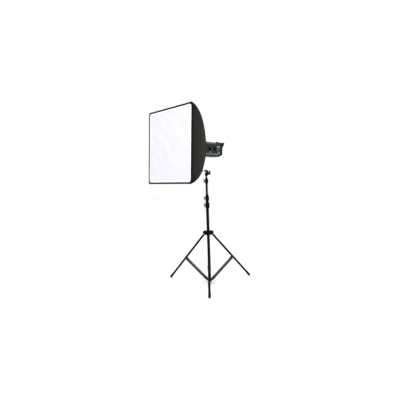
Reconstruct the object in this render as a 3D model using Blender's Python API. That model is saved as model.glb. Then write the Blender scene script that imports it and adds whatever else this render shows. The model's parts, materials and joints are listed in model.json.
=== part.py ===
"""Studio softbox: a 70 cm square softbox on a flash head, carried by a folding three-section light stand.

Metres, +Z up. The softbox faces -Y. The origin is on the floor, under the middle of the whole object.
Run it with: blender --background --python part.py
"""

import math

import bmesh
import bpy
from mathutils import Matrix, Vector

# Place of the stand's column in the frame, and gaps between touching pieces
COLUMN_X = 0.0454
COLUMN_Y = -0.0163
GAP = 0.0003
WELD = 0.00001
ROUND_SIDES = 20
SMALL_SIDES = 12
RING_SIDES = 28

# Tripod base
BASE_TUBE_RADIUS = 0.015
TUBE_WALL = 0.0013
BASE_TUBE_BOTTOM = 0.016
LEG_COUNT = 3
FIRST_LEG_ANGLE = -40.7
LEG_RADIUS = 0.011
LEG_PIVOT_REACH = 0.045
LEG_PIVOT_HEIGHT = 0.507
LEG_SPREAD = 41.92
LEG_LENGTH = 0.6646
FOOT_RADIUS = 0.0125
FOOT_LENGTH = 0.040
COLLAR_BOTTOM = 0.492
COLLAR_TOP = 0.538
COLLAR_RADIUS = 0.0205
COLLAR_BOSS_END = 0.0265
CHEEK_INSIDE = 0.0118
CHEEK_OUTSIDE = 0.0153
LOWER_COLLAR_BOTTOM = 0.0185
LOWER_COLLAR_TOP = 0.052
LOWER_COLLAR_RADIUS = 0.0195
BRACE_PIVOT_REACH = 0.030
BRACE_PIVOT_HEIGHT = 0.034
BRACE_LENGTH = 0.3278
BRACE_SPREAD = 51.77
BRACE_OUTSIDE = 0.0133
BRACE_OPEN_EDGE = 0.007
PIN_RADIUS = 0.003
PIN_HOLE_RADIUS = 0.0034
PIN_HEAD_RADIUS = 0.0055
PIN_HEAD_THICK = 0.0022

# Rising column
RISER_RADII = (0.013, 0.011, 0.0092)
RISER_BOTTOMS = (0.160, 0.360, 0.450)
CLAMP_BOTTOMS = (0.767, 0.838, 1.018)
CLAMP_TOPS = (0.833, 0.904, 1.072)
TUBE_END_IN_CLAMP = 0.58
CLAMP_WALL = 0.0042
CLAMP_BOSS = 0.0035
KNOB_ANGLE = 230.2
COLLAR_KNOB_ANGLE = 139.3
SPIGOT_RADIUS = 0.008
SPIGOT_BOTTOM = 1.080

# Tilting head
SOCKET_RADIUS = 0.0135
SOCKET_BOTTOM = 1.0933
SOCKET_TOP = 1.1315
SOCKET_KNOB_HEIGHT = 1.1055
SOCKET_BOSS_END = 0.0165
BOLT_HOLE_RADIUS = 0.0036
TILT_HEIGHT = 1.115
REST_TILT = 3.33
BAR_HALF_WIDTH = 0.0125
BAR_BOTTOM = 0.0315
BAR_TOP = 0.0365

# Softbox, measured from the tilt axis with the softbox level
AXIS_HEIGHT = 0.2453
FACE_Y = -0.455
FACE_HALF = 0.350
RING_FRONT_Y = -0.1005
RING_BACK_Y = -0.0888
RING_RADIUS = 0.076
RING_HOLE_RADIUS = 0.056
SHELL_DEPTH = 0.350
SHELL_WALL = 0.003
SEAM_FRONT = 0.490
SEAM_MIDDLE = (0.176, 0.408)
SEAM_BACK = (0.372, 0.105)
CORNER_ROUND_FRONT = 0.012
CORNER_ROUND_GROWTH = 0.060
SHELL_STEPS = 10
ROD_RADIUS = 0.003
ROD_INSET = 0.013
ROD_ANGLES = (45, 135, 225, 315)
ROD_SOCKET_DEPTH = 0.361
ROD_ENDS = (0.3655, 0.011)
ROD_STEPS = 12
BAFFLE_DEPTH = 0.141
BAFFLE_HALF = 0.262

# Flash head
LIGHT_HALF_WIDTH = 0.055
LIGHT_HALF_HEIGHT = 0.0705
LIGHT_FRONT_Y = -0.060
LIGHT_BACK_Y = 0.148
LIGHT_WALL = 0.003
LIGHT_CHAMFER = 0.008
COVER_BACK_Y = 0.165
MOUNT_FACE_Y = -0.083
MOUNT_RADIUS = 0.052
SLANT_FRONT_Y = 0.123
SLANT_SLOPE = 0.56
SLANT_RISE = SLANT_SLOPE * (LIGHT_BACK_Y - SLANT_FRONT_Y)

# Controls on the head's +X side: centre (y, height from the axis), half length, half height
SWITCH_1 = ((0.108, 0.0295), 0.0205, 0.0070)
SWITCH_2 = ((0.1155, -0.0320), 0.0140, 0.0065)
TEST_BUTTON = ((0.003, -0.0290), 0.0115, 0.0038)
CONTROLS = (SWITCH_1, SWITCH_2, TEST_BUTTON)
RECESS_DEPTH = 0.010
RECESS_GAP = (0.0010, 0.0006)
DIALS = ((0.000, 0.004), (0.067, 0.006))
DIAL_RADIUS = 0.0180
DISPLAY_PLACE = (0.105, 0.0005)
DISPLAY_HALF = (0.016, 0.0185)

# Finishes: colour, roughness, metal
BLACK_PAINT = ((0.020, 0.020, 0.018), 0.45, 0.0)
BLACK_PLASTIC = ((0.015, 0.015, 0.014), 0.55, 0.0)
RUBBER = ((0.012, 0.012, 0.012), 0.85, 0.0)
GREY_ALLOY = ((0.115, 0.115, 0.110), 0.40, 0.6)
STEEL = ((0.45, 0.45, 0.44), 0.30, 1.0)
BLACK_FABRIC = ((0.030, 0.030, 0.026), 0.90, 0.0)
WHITE_FABRIC = ((0.900, 0.900, 0.940), 0.85, 0.0)
GREY_CASE = ((0.045, 0.050, 0.047), 0.50, 0.0)
PALE_GREY = ((0.420, 0.430, 0.430), 0.50, 0.0)
BLUE_GREY = ((0.080, 0.100, 0.120), 0.15, 0.0)
GLASS = ((0.850, 0.850, 0.820), 0.10, 0.0)
GREEN_BOARD = ((0.020, 0.120, 0.040), 0.50, 0.0)

# A matrix that lays a flat outline of (reach, height) in the upright plane through the column
UPRIGHT = Matrix(((1, 0, 0, 0), (0, 0, -1, 0), (0, 1, 0, 0), (0, 0, 0, 1)))
# The same for an outline of (y, height) in the side plane, thickness along X
SIDEWAYS = Matrix(((0, 0, 1, 0), (1, 0, 0, 0), (0, 1, 0, 0), (0, 0, 0, 1)))
ALONG_X = Matrix.Rotation(math.radians(90), 4, "Y")
ALONG_Y = Matrix.Rotation(math.radians(-90), 4, "X")


def clear_scene():
    for item in list(bpy.data.objects):
        bpy.data.objects.remove(item, do_unlink=True)


def empty(name, location, parent=None, rotation=(0.0, 0.0, 0.0)):
    holder = bpy.data.objects.new(name, None)
    holder.location = location
    holder.rotation_euler = rotation
    holder.parent = parent
    bpy.context.collection.objects.link(holder)
    return holder


def shape(bm):
    """Make a loose object at the origin from a bmesh, ready for a Boolean."""
    bmesh.ops.remove_doubles(bm, verts=bm.verts, dist=WELD)
    bmesh.ops.recalc_face_normals(bm, faces=bm.faces)
    mesh = bpy.data.meshes.new("shape")
    bm.to_mesh(mesh)
    bm.free()
    loose = bpy.data.objects.new("shape", mesh)
    bpy.context.collection.objects.link(loose)
    return loose


def turned(profile, sides=ROUND_SIDES, place=None):
    """Spin a closed outline of (radius, height) points round Z."""
    bm = bmesh.new()
    corners = [bm.verts.new((radius, 0.0, height)) for radius, height in profile]
    edges = [bm.edges.new((a, b)) for a, b in zip(corners, corners[1:] + corners[:1])]
    bmesh.ops.spin(bm, geom=corners + edges, axis=(0, 0, 1), cent=(0, 0, 0),
                   steps=sides, angle=math.tau, use_duplicate=False)
    bmesh.ops.remove_doubles(bm, verts=bm.verts, dist=WELD)
    flat = [edge for edge in bm.edges if not edge.link_faces]
    bmesh.ops.delete(bm, geom=flat, context="EDGES")
    if place:
        bmesh.ops.transform(bm, matrix=place, verts=bm.verts)
    return shape(bm)


def disc(radius, low, high, sides=ROUND_SIDES, place=None):
    return turned([(0, low), (radius, low), (radius, high), (0, high)], sides, place)


def tube(outer, inner, low, high, sides=ROUND_SIDES, place=None):
    return turned([(inner, low), (outer, low), (outer, high), (inner, high)], sides, place)


def prism(outline, low, high, place=None):
    """Push a flat outline in XY up from low to high."""
    bm = bmesh.new()
    face = bm.faces.new([bm.verts.new((x, y, low)) for x, y in outline])
    pushed = bmesh.ops.extrude_face_region(bm, geom=[face])
    moved = [item for item in pushed["geom"] if isinstance(item, bmesh.types.BMVert)]
    bmesh.ops.translate(bm, vec=(0, 0, high - low), verts=moved)
    if place:
        bmesh.ops.transform(bm, matrix=place, verts=bm.verts)
    return shape(bm)


def box(low, high):
    bm = bmesh.new()
    middle = (Vector(low) + Vector(high)) / 2
    size = Vector(high) - Vector(low)
    bmesh.ops.create_cube(bm, size=1.0, matrix=Matrix.Translation(middle) @ Matrix.Diagonal((*size, 1)))
    return shape(bm)


def combine(target, tools, operation):
    """Apply one exact Boolean for each tool, and drop the tool."""
    for tool in tools:
        modifier = target.modifiers.new("combine", "BOOLEAN")
        modifier.operation = operation
        modifier.solver = "EXACT"
        modifier.object = tool
        graph = bpy.context.evaluated_depsgraph_get()
        bm = bmesh.new()
        bm.from_mesh(target.evaluated_get(graph).to_mesh())
        bmesh.ops.remove_doubles(bm, verts=bm.verts, dist=WELD)
        bmesh.ops.dissolve_degenerate(bm, edges=bm.edges, dist=WELD)
        target.modifiers.clear()
        bm.to_mesh(target.data)
        bm.free()
        bpy.data.objects.remove(tool, do_unlink=True)
    return target


def joined(target, *tools):
    return combine(target, tools, "UNION")


def cut(target, *tools):
    return combine(target, tools, "DIFFERENCE")


def finish(name, loose, look, parent, place=None):
    """Name a shape, give it its material and hang it on its empty."""
    colour, roughness, metallic = look
    loose.name = name
    loose.data.name = name
    loose.parent = parent
    loose.matrix_basis = place or Matrix.Identity(4)
    loose.data.materials.clear()
    material = bpy.data.materials.new(name + "_finish")
    material.use_nodes = True
    principled = material.node_tree.nodes["Principled BSDF"]
    principled.inputs["Base Color"].default_value = (*colour, 1.0)
    principled.inputs["Roughness"].default_value = roughness
    principled.inputs["Metallic"].default_value = metallic
    loose.data.materials.append(material)
    loose.data.shade_smooth()
    loose.data.set_sharp_from_angle(angle=math.radians(32))
    return loose


def spoke(angle, reach=0.0, height=0.0):
    """Turn +X to a compass angle round the column, then go out along it."""
    turn = Matrix.Rotation(math.radians(angle), 4, "Z")
    return turn @ Matrix.Translation((reach, 0, height))


def leg_angles():
    return [FIRST_LEG_ANGLE + 360 / LEG_COUNT * index for index in range(LEG_COUNT)]


def round_hole(radius, half_length, reach, height, angle):
    """A cutter across a spoke, for a pin."""
    cutter = disc(radius, -half_length, half_length, SMALL_SIDES, ALONG_Y)
    cutter.data.transform(spoke(angle, reach, height))
    return cutter


# ---- tripod base ----

def build_base_tube(root):
    end = tube_end(0)
    body = tube(BASE_TUBE_RADIUS, BASE_TUBE_RADIUS - TUBE_WALL, BASE_TUBE_BOTTOM, end)
    finish("base_tube", body, BLACK_PAINT, root)


def build_lower_collar(root):
    body = disc(LOWER_COLLAR_RADIUS, LOWER_COLLAR_BOTTOM, LOWER_COLLAR_TOP)
    lug_radius = 0.0075
    for angle in leg_angles():
        outline = [(0.0, LOWER_COLLAR_BOTTOM + 0.002), (0.0, 0.046)]
        outline += arc(BRACE_PIVOT_REACH, BRACE_PIVOT_HEIGHT, lug_radius, 75, -90, 6)
        lug = prism(outline, -0.0110, 0.0110, spoke(angle) @ UPRIGHT)
        body = joined(body, lug)
    holes = [round_hole(PIN_HOLE_RADIUS, 0.02, BRACE_PIVOT_REACH, BRACE_PIVOT_HEIGHT, angle)
             for angle in leg_angles()]
    bore = disc(BASE_TUBE_RADIUS + GAP, 0.0, 0.1)
    finish("lower_collar", cut(body, bore, *holes), BLACK_PLASTIC, root)


def arc(x, y, radius, start, end, steps):
    """Points on a circle, from one angle to another, in degrees."""
    points = []
    for step in range(steps + 1):
        angle = math.radians(start + (end - start) * step / steps)
        points.append((x + radius * math.cos(angle), y + radius * math.sin(angle)))
    return points


def build_upper_collar(collar):
    low, high = COLLAR_BOTTOM, COLLAR_TOP
    rim = 0.002
    profile = [(0, low), (COLLAR_RADIUS - rim, low), (COLLAR_RADIUS, low + rim),
               (COLLAR_RADIUS, high - rim), (COLLAR_RADIUS - rim, high), (0, high)]
    body = turned(profile)
    outline = [(0.0, low + 0.004), (0.036, low + 0.003), (0.050, low + 0.006), (0.0565, low + 0.015),
               (0.0555, low + 0.030), (0.048, high + 0.002), (0.036, high + 0.001), (0.0, high - 0.004)]
    for angle in leg_angles():
        for side in (-1, 1):
            edges = sorted((side * CHEEK_INSIDE, side * CHEEK_OUTSIDE))
            body = joined(body, prism(outline, edges[0], edges[1], spoke(angle) @ UPRIGHT))
    knob_axis = spoke(COLLAR_KNOB_ANGLE, 0, (low + high) / 2) @ ALONG_X
    boss = disc(0.0075, 0.010, COLLAR_BOSS_END, SMALL_SIDES, knob_axis)
    stud_hole = disc(PIN_HOLE_RADIUS, 0.0172, 0.04, SMALL_SIDES, knob_axis)
    body = joined(body, boss)
    holes = [round_hole(PIN_HOLE_RADIUS, 0.02, LEG_PIVOT_REACH, LEG_PIVOT_HEIGHT, angle)
             for angle in leg_angles()]
    bore = disc(BASE_TUBE_RADIUS + 0.0007, 0.4, 0.6)
    finish("upper_collar", cut(body, bore, stud_hole, *holes), BLACK_PLASTIC, collar)


def build_leg(number, leg):
    """One leg: its tube and its rubber foot, along -Z of an empty at the leg's pivot."""
    body = tube(LEG_RADIUS, LEG_RADIUS - TUBE_WALL, -LEG_LENGTH + 0.004, 0.012)
    body = cut(body, disc(PIN_HOLE_RADIUS, -0.02, 0.02, SMALL_SIDES, ALONG_Y))
    finish(f"leg_tube_{number}", body, BLACK_PAINT, leg)
    inside = LEG_RADIUS + GAP
    floor = -LEG_LENGTH + 0.0035
    profile = [(0, -LEG_LENGTH - FOOT_RADIUS)]
    profile += [(x, y) for x, y in arc(0, -LEG_LENGTH, FOOT_RADIUS, -90, 0, 5)[1:]]
    profile += [(FOOT_RADIUS, -LEG_LENGTH + FOOT_LENGTH), (inside, -LEG_LENGTH + FOOT_LENGTH)]
    profile += [(inside, floor), (0, floor)]
    finish(f"foot_{number}", turned(profile), RUBBER, leg)


def build_brace(number, brace):
    """A channel open on its outer side, along +Z of an empty at the lower pivot, outer side +X."""
    low, top, half = -0.008, BRACE_LENGTH + 0.009, BRACE_OUTSIDE
    outline = [(BRACE_OPEN_EDGE, 0.004), (BRACE_OPEN_EDGE, BRACE_LENGTH)]
    outline += arc(0, BRACE_LENGTH, BRACE_OPEN_EDGE + 0.002, 30, 150, 5)
    outline += [(-half, BRACE_LENGTH - 0.006), (-half, 0.024), (-0.0080, 0.004)]
    outline += arc(0, 0, 0.008, 200, 340, 5)
    body = prism(outline, -half, half, UPRIGHT)
    inner = CHEEK_INSIDE
    hollow = box((-inner, -inner, low - 0.01), (0.03, inner, top + 0.01))
    lower_notch = box((-0.03, -inner, low - 0.01), (0.03, inner, 0.045))
    upper_notch = box((-0.03, -inner, BRACE_LENGTH - 0.037), (0.03, inner, top + 0.01))
    pin_hole = disc(PIN_HOLE_RADIUS, -0.02, 0.02, SMALL_SIDES, ALONG_Y)
    body = cut(body, hollow, lower_notch, upper_notch, pin_hole)
    knee = Matrix.Translation((0, 0, BRACE_LENGTH)) @ ALONG_Y
    for side in (-1, 1):
        near, far = sorted((side * (half - 0.0004), side * (half + PIN_HEAD_THICK)))
        body = joined(body, disc(PIN_HEAD_RADIUS, near, far, SMALL_SIDES, knee))
    finish(f"brace_{number}", body, GREY_ALLOY, brace)


def build_pin(name, holder, half):
    """A riveted pin across a spoke, with a head past each cheek."""
    end = half + PIN_HEAD_THICK
    profile = [(0, -end), (PIN_HEAD_RADIUS, -end), (PIN_HEAD_RADIUS, -half), (PIN_RADIUS, -half),
               (PIN_RADIUS, half), (PIN_HEAD_RADIUS, half), (PIN_HEAD_RADIUS, end), (0, end)]
    finish(name, turned(profile, SMALL_SIDES, ALONG_Y), STEEL, holder)


# ---- rising column ----

def tube_end(index):
    """Height of the top of the tube that a clamp is fixed to."""
    low, high = CLAMP_BOTTOMS[index], CLAMP_TOPS[index]
    return low + TUBE_END_IN_CLAMP * (high - low)


def build_clamp(index, holder):
    """A split clamp: sleeve, hinge barrel on one side, screw boss on the other, stepped bore."""
    gripped = (BASE_TUBE_RADIUS, *RISER_RADII)[index]
    sliding = RISER_RADII[index]
    low, high = CLAMP_BOTTOMS[index], CLAMP_TOPS[index]
    middle = (low + high) / 2
    outer = gripped + CLAMP_WALL
    neck = sliding + CLAMP_WALL
    step = tube_end(index) + 0.004
    profile = [(0, low), (outer - 0.0025, low), (outer, low + 0.003), (outer, step),
               (neck, step + 0.008), (neck, high - 0.002), (neck - 0.002, high), (0, high)]
    body = turned(profile)
    barrel_radius = 0.0085
    barrel_outline = [(0, low + 0.007), (barrel_radius - 0.003, low + 0.007),
                      (barrel_radius, low + 0.013), (barrel_radius, high - 0.016),
                      (barrel_radius - 0.004, high - 0.007), (0, high - 0.007)]
    barrel = turned(barrel_outline, SMALL_SIDES, spoke(KNOB_ANGLE + 180, outer - 0.0055))
    across = spoke(KNOB_ANGLE, 0, middle) @ ALONG_X
    boss = disc(0.0075, 0.008, outer + CLAMP_BOSS, SMALL_SIDES, across)
    stud_hole = disc(PIN_HOLE_RADIUS, gripped + 0.0013, 0.04, SMALL_SIDES, across)
    body = joined(body, barrel, boss)
    lower_bore = disc(gripped + GAP, low - 0.01, tube_end(index) + GAP)
    upper_bore = disc(sliding + 0.0004, low, high + 0.01)
    body = cut(body, lower_bore, upper_bore, stud_hole)
    finish(f"riser_clamp_{index + 1}", body, BLACK_PLASTIC, holder)


def build_wing_knob(name, holder, face, stud_start, spread=0.0165):
    """A wing screw along +X of an empty on its axis, wings in the XZ plane."""
    reach = face + GAP
    profile = [(0, stud_start), (PIN_RADIUS, stud_start), (PIN_RADIUS, reach), (0.0065, reach),
               (0.0065, reach + 0.007), (0.005, reach + 0.009), (0, reach + 0.009)]
    body = turned(profile, SMALL_SIDES, ALONG_X)
    for side in (-1, 1):
        tip = arc(reach + 0.0105, side * spread, 0.0042, -100 * side, 140 * side, 6)
        root = [(reach + 0.0005, side * 0.005), (reach + 0.006, side * 0.002)]
        outline = root + tip
        body = joined(body, prism(outline, -0.0027, 0.0027, UPRIGHT))
    finish(name, body, BLACK_PLASTIC, holder)


def build_riser(index, holder):
    radius = RISER_RADII[index]
    top = tube_end(index + 1) if index < 2 else SPIGOT_BOTTOM - GAP
    wall = TUBE_WALL if index < 2 else 0.0015
    body = tube(radius, radius - wall, RISER_BOTTOMS[index], top)
    finish(f"riser_{index + 1}", body, BLACK_PAINT, holder)


def build_spigot(holder):
    profile = [(0, SPIGOT_BOTTOM - 0.018), (0.0072, SPIGOT_BOTTOM - 0.018), (0.0072, SPIGOT_BOTTOM),
               (SPIGOT_RADIUS, SPIGOT_BOTTOM), (SPIGOT_RADIUS, 1.101), (0.0065, 1.1025), (0.0065, 1.1085),
               (SPIGOT_RADIUS, 1.110), (SPIGOT_RADIUS, 1.1225), (0.007, 1.1245), (0, 1.1245)]
    finish("spigot", turned(profile), STEEL, holder)


# ---- tilting head ----

def build_pan_socket(pan):
    """A socket over the spigot, with a round boss for the tilt plate on +X."""
    low, high = SOCKET_BOTTOM, SOCKET_TOP
    profile = [(0, low), (SOCKET_RADIUS - 0.001, low), (SOCKET_RADIUS, low + 0.001),
               (SOCKET_RADIUS, high - 0.003), (SOCKET_RADIUS - 0.003, high), (0, high)]
    body = turned(profile)
    tilt_axis = Matrix.Translation((0, 0, TILT_HEIGHT)) @ ALONG_X
    knob_axis = spoke(COLLAR_KNOB_ANGLE, 0, SOCKET_KNOB_HEIGHT) @ ALONG_X
    boss = disc(0.0125, 0.002, 0.0137, ROUND_SIDES, tilt_axis)
    knob_boss = disc(0.0065, 0.008, SOCKET_BOSS_END, SMALL_SIDES, knob_axis)
    body = joined(body, boss, knob_boss)
    bore = disc(SPIGOT_RADIUS + GAP, low - 0.01, 1.1255)
    knob_hole = disc(PIN_HOLE_RADIUS, 0.0095, 0.03, SMALL_SIDES, knob_axis)
    tilt_hole = disc(PIN_HOLE_RADIUS, 0.0096, 0.03, SMALL_SIDES, tilt_axis)
    body = cut(body, bore, knob_hole, tilt_hole)
    body.data.transform(Matrix.Translation((0, 0, -SOCKET_BOTTOM)))
    finish("pan_socket", body, BLACK_PLASTIC, pan)


def build_tilt_plate(tilt):
    """Cheek on the socket's +X side, bent over the top into a platform for the bar."""
    low, high = 0.0140, 0.0200
    outline = arc(0, 0, 0.0135, 180, 360, 12) + [(0.0125, 0.0218), (0.0125, BAR_BOTTOM - GAP),
                                                 (-0.0125, BAR_BOTTOM - GAP), (-0.0125, 0.0218)]
    body = prism(outline, low, high, SIDEWAYS)
    body = joined(body, box((-0.0125, -0.0145, 0.0218), (high + 0.001, 0.0145, BAR_BOTTOM - GAP)))
    pivot_hole = disc(BOLT_HOLE_RADIUS, 0.0, 0.03, SMALL_SIDES, ALONG_X)
    bolt_hole = disc(BOLT_HOLE_RADIUS, 0.01, 0.05, SMALL_SIDES)
    finish("tilt_plate", cut(body, pivot_hole, bolt_hole), BLACK_PLASTIC, tilt)


def build_tilt_handle(handle):
    """The lever that locks the tilt, turning on the tilt axis."""
    profile = [(0, 0.0100), (PIN_RADIUS, 0.0100), (PIN_RADIUS, 0.0203), (0.0085, 0.0203), (0.0085, 0.033),
               (0.0070, 0.0345), (0, 0.0345)]
    body = turned(profile, ROUND_SIDES, ALONG_X)
    outline = [(0.026, -0.0070), (0.046, -0.0095), (0.058, -0.0060), (0.0615, 0.004), (0.0620, 0.024),
               (0.0590, 0.0290), (0.0530, 0.0290), (0.0490, 0.024), (0.0460, 0.012), (0.038, 0.0075),
               (0.026, 0.0070)]
    lever = prism(outline, -0.0048, 0.0048, UPRIGHT)
    finish("tilt_handle", joined(body, lever), BLACK_PLASTIC, handle)


def build_bracket(tilt):
    """Flat steel bar: level over the head, then up behind the softbox's ring."""
    front, thick = MOUNT_FACE_Y, BAR_TOP - BAR_BOTTOM
    arm_top = 0.172
    back = front + thick
    outline = [(0.016, BAR_BOTTOM), (front + 0.004, BAR_BOTTOM), (front, BAR_BOTTOM + 0.004),
               (front, arm_top), (back, arm_top), (back, BAR_TOP + 0.002), (back + 0.002, BAR_TOP),
               (0.016, BAR_TOP)]
    body = prism(outline, -BAR_HALF_WIDTH, BAR_HALF_WIDTH, SIDEWAYS)
    bolt_hole = disc(BOLT_HOLE_RADIUS, 0.0, 0.06, SMALL_SIDES)
    finish("bracket_bar", cut(body, bolt_hole), BLACK_PAINT, tilt)
    bolt = [(0, 0.0235), (PIN_RADIUS, 0.0235), (PIN_RADIUS, BAR_TOP + GAP), (0.0078, BAR_TOP + GAP),
            (0.0078, 0.0425), (0.0065, 0.0440), (0, 0.0440)]
    finish("bar_bolt", turned(bolt, SMALL_SIDES), STEEL, tilt)


def axis_place():
    """Turned shapes along +Y on the light's axis."""
    return Matrix.Translation((0, 0, AXIS_HEIGHT)) @ ALONG_Y


def build_ring_adapter(tilt):
    """Fixed plate behind the turning ring, with the tab that the bracket is fastened to."""
    low, high = RING_BACK_Y + GAP, MOUNT_FACE_Y - GAP
    body = disc(0.072, low, high, RING_SIDES, axis_place())
    tab = box((-0.016, low, 0.150), (0.016, high, AXIS_HEIGHT - 0.055))
    body = joined(body, tab)
    hole = disc(0.047, low - 0.01, high + 0.01, RING_SIDES, axis_place())
    finish("ring_adapter", cut(body, hole), BLACK_PAINT, tilt)


# ---- softbox ----

def seam(step):
    """Depth behind the face and distance from the axis of a corner seam, for step from 0 to 1."""
    blend = (1 - step) ** 2, 2 * step * (1 - step), step ** 2
    depth = blend[1] * SEAM_MIDDLE[0] + blend[2] * SEAM_BACK[0]
    reach = blend[0] * SEAM_FRONT + blend[1] * SEAM_MIDDLE[1] + blend[2] * SEAM_BACK[1]
    return depth, reach


def seam_at(depth):
    """Step of the seam curve at a depth behind the face."""
    bend = SEAM_BACK[0] - 2 * SEAM_MIDDLE[0]
    return (-SEAM_MIDDLE[0] + math.sqrt(SEAM_MIDDLE[0] ** 2 + bend * depth)) / bend


def section(step):
    """Depth, half side and corner radius of the softbox across its axis."""
    depth, reach = seam(step)
    corner = CORNER_ROUND_FRONT + CORNER_ROUND_GROWTH * (depth / SHELL_DEPTH) ** 2
    half = (reach + corner * (math.sqrt(2) - 1)) / math.sqrt(2)
    return depth, half, corner


def rounded_square(half, corner, steps=4):
    """Points round a square with round corners, with one more in the middle of each side."""
    points = []
    for quarter in range(4):
        turn = Matrix.Rotation(math.radians(90 * quarter), 2)
        points.append(turn @ Vector((half, 0.0)))
        for x, y in arc(half - corner, half - corner, corner, 0, 90, steps):
            points.append(turn @ Vector((x, y)))
    return points


def build_shell(softbox):
    """The black fabric: four bowed sides, open at the front and at the ring."""
    bm = bmesh.new()
    last = seam_at(SHELL_DEPTH)
    loops = []
    walls = [(SHELL_STEPS - index, 0.0) for index in range(SHELL_STEPS + 1)]
    walls += [(index, SHELL_WALL) for index in range(SHELL_STEPS + 1)]
    for index, inset in walls:
        depth, half, corner = section(last * index / SHELL_STEPS)
        ring = rounded_square(half - inset, max(corner - inset, 0.004))
        loops.append([bm.verts.new((point.x, FACE_Y + depth, AXIS_HEIGHT + point.y)) for point in ring])
    for here, there in zip(loops, loops[1:] + loops[:1]):
        for index, corner_vert in enumerate(here):
            after = (index + 1) % len(here)
            bm.faces.new((corner_vert, here[after], there[after], there[index]))
    finish("softbox_shell", shape(bm), BLACK_FABRIC, softbox)


def build_panel(name, depth, thick, half, corner, softbox):
    """A flat fabric panel across the softbox."""
    outline = [(point.x, point.y) for point in rounded_square(half, corner)]
    place = Matrix.Translation((0, FACE_Y + depth + thick, AXIS_HEIGHT)) @ UPRIGHT
    finish(name, prism(outline, 0.0, thick, place), WHITE_FABRIC, softbox)


def rod_path(angle):
    """Points of a bowed rod, from its socket in the ring to the front corner."""
    points = []
    first, last = seam_at(ROD_ENDS[0]), seam_at(ROD_ENDS[1])
    turn = math.radians(angle)
    for index in range(ROD_STEPS + 1):
        depth, reach = seam(first + (last - first) * index / ROD_STEPS)
        reach -= ROD_INSET
        points.append((reach * math.cos(turn), FACE_Y + depth, AXIS_HEIGHT + reach * math.sin(turn)))
    return points


def build_rod(number, angle, softbox):
    curve = bpy.data.curves.new(f"rod_{number}", "CURVE")
    curve.dimensions = "3D"
    curve.bevel_depth = ROD_RADIUS
    curve.bevel_resolution = 2
    curve.render_resolution_u = 0
    curve.use_fill_caps = True
    spline = curve.splines.new("POLY")
    points = rod_path(angle)
    spline.points.add(len(points) - 1)
    for control, point in zip(spline.points, points):
        control.co = (*point, 1.0)
    drawn = bpy.data.objects.new("drawn", curve)
    bpy.context.collection.objects.link(drawn)
    graph = bpy.context.evaluated_depsgraph_get()
    bm = bmesh.new()
    bm.from_mesh(drawn.evaluated_get(graph).to_mesh())
    bpy.data.objects.remove(drawn, do_unlink=True)
    finish(f"rod_{number}", shape(bm), STEEL, softbox)


def build_speedring(softbox):
    """The turning ring, with an arm and a slanted socket for each rod."""
    body = disc(RING_RADIUS, RING_FRONT_Y, RING_BACK_Y, RING_SIDES, axis_place())
    for angle in ROD_ANGLES:
        arm = box((0.066, RING_FRONT_Y + 0.001, -0.007), (0.112, RING_BACK_Y - 0.001, 0.007))
        arm.data.transform(round_axis(angle))
        body = joined(body, arm, disc(0.0056, -0.011, 0.013, SMALL_SIDES, socket_place(angle)))
    hole = disc(RING_HOLE_RADIUS, RING_FRONT_Y - 0.01, RING_BACK_Y + 0.01, RING_SIDES, axis_place())
    body = cut(body, hole)
    for angle in ROD_ANGLES:
        body = cut(body, disc(0.0039, -0.0102, 0.03, SMALL_SIDES, socket_place(angle)))
    finish("speedring", body, GREY_ALLOY, softbox)


def round_axis(angle):
    """Turn +X round the light's axis."""
    return Matrix.Translation((0, 0, AXIS_HEIGHT)) @ Matrix.Rotation(math.radians(-angle), 4, "Y")


def socket_place(angle):
    """Puts +Z along a rod's socket in the ring."""
    depth, reach = seam(seam_at(ROD_SOCKET_DEPTH))
    centre = Matrix.Translation((reach - ROD_INSET, FACE_Y + depth, 0))
    return round_axis(angle) @ centre @ seam_slope()


def seam_slope():
    """Turns +Z to run along the back end of a rod, outward and forward."""
    near, far = seam(seam_at(0.366)), seam(seam_at(0.350))
    outward = Vector((far[1] - near[1], far[0] - near[0], 0)).normalized()
    return Vector((0, 0, 1)).rotation_difference(outward).to_matrix().to_4x4()


# ---- flash head ----

def build_housing(tilt):
    """Case open at the back, with the lamp cup in its round front."""
    wide, tall, wall = LIGHT_HALF_WIDTH, LIGHT_HALF_HEIGHT, LIGHT_WALL
    body = case_block(wide, tall, LIGHT_CHAMFER, LIGHT_FRONT_Y, LIGHT_BACK_Y, 0.0)
    body = joined(body, disc(MOUNT_RADIUS, MOUNT_FACE_Y, LIGHT_FRONT_Y + 0.01, RING_SIDES, axis_place()))
    hollow = case_block(wide - wall, tall - wall, 0.006, -0.050, LIGHT_BACK_Y + 0.01, wall)
    half_facet = Matrix.Rotation(math.pi / RING_SIDES, 4, "Z")
    cup = disc(0.044, MOUNT_FACE_Y - 0.01, -0.054, RING_SIDES, axis_place() @ half_facet)
    body = cut(body, hollow, cup)
    for (y, height), half_y, half_z in CONTROLS:
        half_y, half_z = half_y + RECESS_GAP[0], half_z + RECESS_GAP[1]
        low = (wide - RECESS_DEPTH, y - half_y, AXIS_HEIGHT + height - half_z)
        high = (wide + RECESS_DEPTH, y + half_y, AXIS_HEIGHT + height + half_z)
        body = cut(body, box(low, high))
    finish("light_housing", body, GREY_CASE, tilt)


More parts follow.
